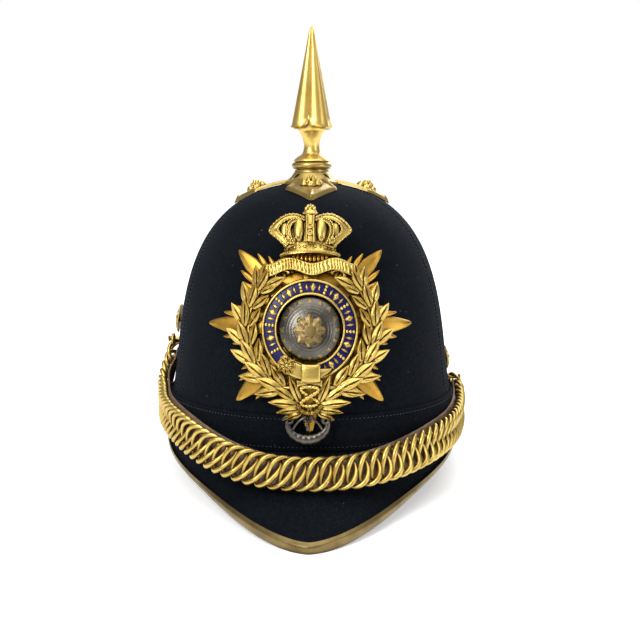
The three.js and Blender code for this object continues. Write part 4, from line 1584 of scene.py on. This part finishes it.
def buildCrown():
    def placeBand(u, v):
        out, up = rowAt(crown["band"], u)
        base = mix(crown["footRadius"], crown["bandRadius"], min(1, up / 6))
        return crownSpot(radians(mix(-92, 92, v)), base + out - 0.6, crown["footZ"] + up)

    parts = [formed("crownBand", len(crown["band"]) - 1, 60, placeBand, capped=True, sharp=60)]

    # the cap inside the straps, set back so that they stand clear of it
    edge = flat(crown["outerEdge"])

    def placeCap(u, v):
        rim = splinePoint(edge, v)
        s = 2 * u - 1
        x = 0.90 * rim.x * s
        up = rim.z - 1.0 - 0.8 * (1 - s * s)
        ruck = 0.35 * cos(2.3 * x) * (1 - abs(s))
        return vec(x, -(crownFront(x, up) - 0.8 + ruck), up + crown["arc"] * (1 - s * s) * max(0.0, 1 - v * 3))

    cap = formed("crownCap", 60, 34, placeCap, sharp=80)
    selectOnly(cap)
    thicken = cap.modifiers.new("wall", "SOLIDIFY")
    thicken.thickness = 0.8
    bpy.ops.object.modifier_apply(modifier="wall")
    parts.append(cap)

    straps = []
    for side in (-1, 1):
        straps.append(crownStrap(side, crown["outerEdge"], crown["innerEdge"], 0.3))
        straps.append(crownStrap(side, crown["middleOut"], crown["middleIn"], 0.6))
        for x, up, wide, tall, deep in crown["puffs"]:
            parts.append(moved(bead(1.0, gilt, 24, 14), onCrown(side * x, up, -0.9) @ stretch(wide, deep * 0.6, tall)))
    straps.append(crownStrap(1, crown["centre"], [(-x, up) for x, up in crown["centre"]], 1.6))
    parts += [strap for strap, pearls in straps]
    parts += smallBeads(crown["strapPearl"], [pearl for strap, pearls in straps for pearl in pearls])
    for up in crown["hoops"]:
        parts.append(moved(torus(1.15, 0.4, 20, 8), onCrown(0, up, 2.2) @ shift(0, 0, 1.2) @ faceFront))

    # beads along the band's foot and top, and stones and lozenges by turns between them
    foot = (28, crown["footRadius"] + 0.7, crown["footZ"] + 0.9)
    top = (26, crown["bandRadius"] + 0.4, crown["bandZ"] - 0.1)
    parts += smallBeads(crown["bandPearl"], [
        crownSpot(radians(mix(-84, 84, i / last)), r, up) for last, r, up in (foot, top) for i in range(last + 1)
    ])
    jewels, stones = [], []
    spread = radians(crown["jewelSpread"])
    for i in range(crown["jewels"]):
        turn = mix(-spread, spread, i / (crown["jewels"] - 1))
        at = shift(crownSpot(turn, crown["footRadius"] - 1.3, crown["footZ"] + 3.3))
        if i % 2:
            stones.append(at @ spin(turn, "Z") @ stretch(1.0, 0.7, 0.75))
        else:
            jewels.append(at @ spin(turn * 0.6, "Z"))
    parts += copiesOf(makeLozenge(1.15, 1.2, 1.3), jewels) + copiesOf(bead(1.0), stones)

    # small four-petalled flowers stand on the band between the straps
    for x in crown["flowers"]:
        up = 44.6 + 1.6 * (abs(x) < 8)
        parts.append(moved(makeRose("bandFlower", 1.9, 1.4, 4, gilt, 40, 8), onCrown(x, up, 1.2) @ faceFront))

    # ball with its hoop, and a lozenge with a bead at each corner over it
    front = seat + 3.4
    ballZ = crown["ballZ"]
    parts.append(moved(bead(1.0, gilt, 28, 16), shift(0, -front, ballZ) @ stretch(*crown["ball"])))
    parts.append(moved(makeLozenge(2.7, 2.5, 2.6), shift(0, -front, ballZ + 2.5)))
    hoop = [radians(-84 + 14 * i) for i in range(13)]
    parts += smallBeads(crown["ballPearl"], [vec(3.75 * sin(a), -front - 2.65 * cos(a), ballZ) for a in hoop])
    parts += copiesOf(bead(crown["tipBall"]), [shift(x, -front - 0.7, ballZ + 2.4 + z) for x, z in crown["tips"]])

    # dark hollow seen under the band's bow
    def placeUnder(u, v):
        r, up = rowAt(crown["under"], u)
        return crownSpot(radians(mix(-90, 90, v)), r, crown["footZ"] + up)

    parts.append(formed("crownUnder", 4, 40, placeUnder, [starGilt], capped=True))
    mount("crown", parts, "crown")


ribbon = {
    "half": 23.0,
    "tall": 3.1,
    "middle": 31.3,
    "ribs": 27,
    "pleat": 0.7,
    "border": 0.78,
    "wave": 1.5,
    "sag": 0.0024,
    "curlX": 15.0,
    "curlZ": 26.0,
}


# ribbed ribbon in three waves, with a curl under each end
def buildScroll():
    def place(u, v):
        x = mix(-ribbon["half"], ribbon["half"], v)
        up = ribbon["middle"] + ribbon["wave"] * cos(tau * (v - 0.27) * 1.95) - ribbon["sag"] * x * x
        tall, lift = superSection(u, ribbon["tall"], 0.95, 0.55)
        fold = pi * ribbon["ribs"] * v + 0.5 * sin(tall) + 0.9 * sin(23 * v)
        pleat = ribbon["pleat"] * (1 if abs(tall) > ribbon["tall"] * ribbon["border"] else abs(sin(fold)) ** 0.7)
        front = lift + pleat if lift > 0.2 else lift
        bow = 1.6 * sin(pi * v * 3) ** 2
        return vec(x, -(seat + 1.3 + front + 0.4 * bow), up + tall)

    parts = [formed("ribbon", 30, 230, place, capped=True, sharp=60)]
    for side in (-1, 1):
        def curlRoute(share, side=side):
            turn = pi * (0.15 + 1.45 * share)
            size = mix(4.6, 1.8, share)
            x = side * (ribbon["curlX"] - size * cos(turn))
            return vec(x, -(seat + 1.0), ribbon["curlZ"] + 0.8 * size * sin(turn))
        parts.append(wire("curl", curlRoute, 26, 0.8, 10))
    parts += copiesOf(bead(1.0, starGilt), [
        shift(x * 2.15, -(seat + 1.4), 35.0 + 0.05 * x * x) @ stretch(0.95, 0.8, 1.9) for x in range(-4, 5)
    ])
    mount("scroll", parts, "scroll")


tie = {
    "front": 2.6, "barHalf": 6.4, "barZ": -25.6, "knot": (4.3, 5.0), "knotZ": -32.9, "loop": (5.6, 4.4), "loopZ": -36.9
}


# ribbed bar, knotted cord and loop where the wreath's stems are tied
def buildTie():
    front = seat + tie["front"]

    def placeBar(u, v):
        x = mix(-tie["barHalf"], tie["barHalf"], v)
        tall, lift = superSection(u, 1.75, 1.3, 0.7)
        swell = 1 + 0.12 * cos(tau * 3.0 * v)
        return vec(x, -(front + lift * swell), tie["barZ"] - 0.25 * abs(x) ** 0.8 + tall * swell)

    def knotRoute(share):
        turn = tau * share
        wide, tall = tie["knot"]
        return vec(wide * sin(2 * turn), -(front + 0.9 + 1.1 * sin(turn + 0.8)), tie["knotZ"] + tall * cos(turn))

    def loopRoute(share):
        turn = pi * (1.0 + share)
        wide, tall = tie["loop"]
        return vec(wide * cos(turn), -(front + 0.6), tie["loopZ"] + tall * sin(turn))

    def ropeSize(base):
        return lambda v: base * (1 + 0.16 * sin(tau * 26 * v))

    parts = [
        formed("tieBar", 20, 40, placeBar, capped=True),
        wire("knot", knotRoute, 200, ropeSize(0.95), 10, closedLoop=True),
        wire("loop", loopRoute, 110, ropeSize(1.15), 10),
    ]
    parts += copiesOf(makeLeaf(), [leafMatrix(s * 0.9, -37.0, pi + s * 0.32, 9.0, 3.0, 1.5, 1.9, -4) for s in (-1, 1)])
    mount("wreathTie", parts, "wreath_tie")


swag = {"middle": -1.0, "half": 1.18 * 8.8, "deep": 8.8, "up": -46.5, "front": 1.5}


# silver crescent with a volute at each end, hung from a small stud by two stems
def buildSwag():
    front = seat + swag["front"]

    def at(x, off, up):
        return vec(swag["middle"] + x, -front - off, swag["up"] + up)

    def crescentRoute(share):
        turn = pi * (1.06 * share - 0.03)
        return at(-swag["half"] * cos(turn), 0, -swag["deep"] * sin(turn))

    def crescentSize(v):
        return (1.0 + 1.75 * sin(pi * v) ** 1.3) * (1 + 0.04 * cos(tau * 11 * v))

    parts = [wire("crescent", crescentRoute, 90, crescentSize, 18, silver, squash=0.75)]
    for side in (-1, 1):
        def voluteRoute(share, side=side):
            turn = pi * 2.3 * share
            size = mix(2.9, 0.5, share)
            return at(side * (swag["half"] - 0.8 + size * cos(turn)), 0.5 * share, 0.9 + 0.9 * size * sin(turn))
        parts.append(wire("volute", voluteRoute, 40, lambda v: mix(1.05, 0.8, v), 10, silver))

        def stemRoute(share, side=side):
            return at(side * mix(7.4, 0.8, share), 0.9, mix(-3.2, 3.0, share ** 0.8) + 0.8 * sin(pi * share))
        parts.append(wire("stem", stemRoute, 24, 0.62, 8, silver))
    parts.append(moved(makeRose("swagRose", 2.7, 1.6, 5, silver, 50, 10), shift(at(0, 0.9, 2.6)) @ faceFront))
    parts.append(moved(bead(1.2, silver), shift(at(0, 0, -2.6)) @ stretch(0.9, 0.8, 1.8)))
    mount("silverSwag", parts, "silver_swag", "silver")


buildCrown()
buildScroll()
buildTie()
buildSwag()
print("crown, scroll and swag done")


# chin chain on its leather

# from the right ear round the front to the left ear: degrees from the front, height of the chain's
# middle, how far it stands out of the oval, and how far it leans back, in degrees
chainRoute = (
    (-90, 70.5, 1.4, 0), (-90, 62, 3.7, 0), (-88, 54, 5.8, 0), (-83, 47, 6.9, 0), (-74, 42.8, 6.2, 0),
    (-62, 41, 6.5, 0), (-50, 40.2, 7.4, 4), (-39, 38.8, 9.2, 12), (-30, 36.2, 11.6, 20), (-20, 32.6, 14.8, 27),
    (-10, 29.7, 17.2, 31), (0, 28.8, 18.2, 32), (10, 29.4, 17.2, 31), (20, 31.4, 14.8, 27), (30, 33.6, 12, 20),
    (39, 34.8, 9.8, 12), (50, 35.2, 8, 4), (62, 35.6, 6.6, 0), (74, 36.6, 6.4, 0), (81, 39, 6.4, 0), (86, 43, 6.2, 0),
)
chain = {
    "links": 56,
    "halfLong": 5.6,
    "shear": 1.9,
    "halfTall": 7.9,
    "twist": 1.9,
    "wire": 1.3,
    "leatherHalf": 8.1,
    "leatherThick": 1.3,
    "leatherBehind": 3.1,
    "leatherRaised": 1.5,
}
routePoints = [
    spot(radians(angle), ovalRadius(radians(angle)) + out, z) for angle, z, out, lean in chainRoute
]
routeSamples = 800
routeReach = [0.0]
for i in range(routeSamples):
    step = splinePoint(routePoints, (i + 1) / routeSamples) - splinePoint(routePoints, i / routeSamples)
    routeReach.append(routeReach[-1] + step.length)


def routeFrame(share):
    goal = min(max(share, 0.0), 1.0) * routeReach[-1]
    low, high = 0, routeSamples
    while high - low > 1:
        middle = (low + high) // 2
        if routeReach[middle] <= goal:
            low = middle
        else:
            high = middle
    t = (low + (goal - routeReach[low]) / (routeReach[low + 1] - routeReach[low])) / routeSamples
    at = splinePoint(routePoints, t)
    along = (splinePoint(routePoints, min(1, t + 1e-3)) - splinePoint(routePoints, max(0, t - 1e-3))).normalized()
    row = t * (len(chainRoute) - 1)
    first = min(int(row), len(chainRoute) - 2)
    lean = radians(mix(chainRoute[first][3], chainRoute[first + 1][3], row - first))
    out = awayFromAxis(at) * cos(lean) + vec(0, 0, sin(lean))
    out = (out - along * out.dot(along)).normalized()
    return at, along, out, out.cross(along)


def makeLink():
    def route(share):
        t = tau * share
        x = chain["halfLong"] * cos(t) + chain["shear"] * sin(t)
        return vec(x, chain["halfTall"] * sin(t), -chain["twist"] * sin(2 * t))
    return wire("link", route, 36, chain["wire"], 10, closedLoop=True, up=vec(0, 0, 1))


ears = {
    "right": {
        "side": -1, "z": 87.0, "y": 2.0, "radius": 9.6, "pinZ": 74.6, "pinY": 0.0, "ring": 3.6,
        "hang": Matrix.Identity(4),
    },
    "left": {
        "side": 1, "z": 60.5, "y": 12.0, "radius": 8.2, "pinZ": 51.6, "pinY": -6.0, "ring": 5.4,
        "hang": spin(radians(-24), "Y") @ spin(radians(28), "Z"),
    },
}
pin = {
    "half": 1.2,
    "play": 0.3,
    "ringOut": 5.2,
    "ringWire": 1.0,
    "profile": (
        (0, 0.2), (2.2, 0.2), (2.3, 0.7), (1.3, 1.1), (1.2, 1.6), (1.2, 6.9), (1.7, 7.2), (2.0, 7.8), (1.6, 8.4),
        (0, 8.7),
    ),
}
stalk = ((2.4, -1.6), (2.4, -0.95), (2.4, -0.3), (2.4, 0.35), (0, 1.0))
earRose = {"height": 3.4, "petals": 8, "foot": 0.2, "seat": 2.2}


# point beside an ear at a depth and height, and the way off the cloth there
def earSeat(side, y, z):
    angle = side * (pi / 2 + asin(y / body["halfWidth"]))
    h = shareAt(angle, z, 0.001)
    at = domePoint(angle, h)
    slope = domePoint(angle, h, 1) - at
    off = awayFromAxis(at)
    return at, vec(off.x, off.y, slope.z).normalized()


# ring of the chain, hung on the pin of its ear
def endRing(data):
    foot = earSeat(data["side"], data["pinY"], data["pinZ"])[0]
    drop = data["ring"] - pin["ringWire"] - pin["half"] - pin["play"]
    centre = shift(foot.x + data["side"] * pin["ringOut"], foot.y, foot.z - drop)
    return moved(torus(data["ring"], pin["ringWire"], 40, 12), centre @ data["hang"] @ spin(pi / 2, "Y"))


def buildChain():
    print("chain runs", round(routeReach[-1], 1), "mm")
    matrices = []
    for i in range(chain["links"]):
        at, along, out, up = routeFrame((i + 0.5) / chain["links"])
        matrices.append(shift(at) @ axes(along, up, out))
    rings = [endRing(ears[way]) for way in ("right", "left")]
    settle(joined("curbChain", copiesOf(makeLink(), matrices) + rings), "gilt", "chin_chain")

    def placeLeather(u, v):
        at, along, out, up = routeFrame(v)
        tall, lift = superSection(u, chain["leatherHalf"], chain["leatherThick"] / 2, 0.35)
        depth = -chain["leatherBehind"] - chain["leatherThick"] / 2 + lift
        return at + up * (tall + chain["leatherRaised"]) + out * depth

    leather = formed("leatherBacking", 28, 200, placeLeather, [hide], capped=True, sharp=50)
    settle(leather, "hide", "chain_backing")


def buildEars():
    def placeStalk(u, v):
        r, z = rowAt(stalk, v)
        return vec(r * sin(tau * u), r * cos(tau * u), z)

    for way, data in ears.items():
        foot, off = earSeat(data["side"], data["y"], data["z"])
        rose = makeRose(
            "earRose_" + way, data["radius"], earRose["height"], earRose["petals"], gilt, 112, 22, earRose["foot"]
        )
        column = formed("stalk", 24, 4, placeStalk, capped=True)
        up = (vec(0, 0, 1) - off * off.z).normalized()
        piece = joined("earRose_" + way, [rose, column])
        at = shift(foot + off * earRose["seat"]) @ axes(up.cross(off), up, off)
        settle(moved(piece, at), "gilt", "ear_rose_" + way)

        pinFoot = earSeat(data["side"], data["pinY"], data["pinZ"])[0]

        def placePin(u, v, foot=pinFoot, side=data["side"]):
            r, out = rowAt(pin["profile"], v)
            return foot + vec(side * out, r * sin(tau * u), r * cos(tau * u))

        post = formed("chainPin_" + way, 20, len(pin["profile"]) - 1, placePin)
        settle(post, "gilt", "chain_pin_" + way)


buildChain()
buildEars()
print("chain and roses done")


# leather headband inside

headband = {"thickness": 0.6, "offWall": 3.4, "footRise": 1.0, "topRise": 6.0, "flare": 0.88, "flarePower": 1.5}


def buildHeadband():
    thick = headband["thickness"]
    rows = [(0, 0), (thick, 0), (thick, 0.5), (thick, 1), (0, 1), (0, 0.5), (0, 0)]

    def place(u, v):
        angle = tau * u
        out, share = rowAt(rows, v)
        flare = headband["flare"] * (1 - share) ** headband["flarePower"]
        z = mix(bandFoot(angle) + headband["footRise"], bandTop(angle) + headband["topRise"], share)
        return spot(angle, ovalRadius(angle) - body["wall"] - headband["offWall"] + flare + out, z)

    settle(formed("headband", 160, len(rows) - 1, place, [sweatHide], sharp=50), "hide")


buildHeadband()
print("headband done")


# floor, light and camera

def buildFloor():
    material, tree, shader = startMaterial("floorPaint", (0.82, 0.82, 0.82), 0.8)
    add = bpy.ops.mesh.primitive_circle_add
    floor = nameIt(primitive(add, material, vertices=96, radius=14, fill_type="NGON"), "floor")
    setInputs(shader, {"Specular IOR Level": 0.05, "Emission Strength": 1.0})
    away = addNode(tree, "ShaderNodeVectorMath", operation="LENGTH")
    tree.links.new(objectCoords(tree), away.inputs[0])
    glow = ramp(tree, math2(tree, "MULTIPLY", away.outputs["Value"], 0.5), (0.10, 0.42), (0.75, 0.80))
    tree.links.new(glow, shader.inputs["Emission Color"])


def addLight(name, place, target, size, power):
    clearSelection()
    bpy.ops.object.light_add(type="AREA", location=place)
    light = bpy.context.object
    light.name = name
    light.data.shape = "RECTANGLE"
    light.data.size, light.data.size_y = size
    light.data.energy = power
    light.rotation_euler = (Vector(target) - Vector(place)).to_track_quat("-Z", "Y").to_euler()


buildFloor()
lookAt = (0, -0.03, 0.12)
addLight("key", (-0.62, -1.0, 0.95), lookAt, (0.55, 0.55), 14)
addLight("fill", (1.3, -0.75, 0.40), lookAt, (0.35, 0.9), 5)
addLight("top", (0.1, -0.1, 1.6), lookAt, (1.6, 1.6), 22)
addLight("back", (0.5, 1.3, 0.8), lookAt, (1.0, 0.6), 10)

world = bpy.data.worlds.new("studio")
bpy.context.scene.world = world
world.use_nodes = True
worldTree = world.node_tree
room = worldTree.nodes["Background"]
setInputs(room, {"Color": (1, 1, 1, 1), "Strength": 0.38})
backdrop = addNode(worldTree, "ShaderNodeBackground", Color=(1, 1, 1, 1), Strength=1.0)
seen = addNode(worldTree, "ShaderNodeLightPath")
mixer = addNode(worldTree, "ShaderNodeMixShader")
worldTree.links.new(seen.outputs["Is Camera Ray"], mixer.inputs[0])
worldTree.links.new(room.outputs[0], mixer.inputs[1])
worldTree.links.new(backdrop.outputs[0], mixer.inputs[2])
worldTree.links.new(mixer.outputs[0], worldTree.nodes["World Output"].inputs["Surface"])

camera = {"distance": 0.600, "height": 0.1793, "tilt": 8.8, "turn": 0.5, "lens": 54.45, "shift": 0.0130}
clearSelection()
swing = radians(camera["turn"])
bpy.ops.object.camera_add(location=spot(swing, camera["distance"], camera["height"]))
eye = bpy.context.object
eye.rotation_euler = (radians(90 - camera["tilt"]), 0, swing)
eye.data.lens = camera["lens"]
eye.data.sensor_width = 36
eye.data.shift_x = camera["shift"]
eye.data.clip_start = 0.01
bpy.context.scene.camera = eye
bpy.context.scene.view_settings.view_transform = "Standard"

print("scene ready")
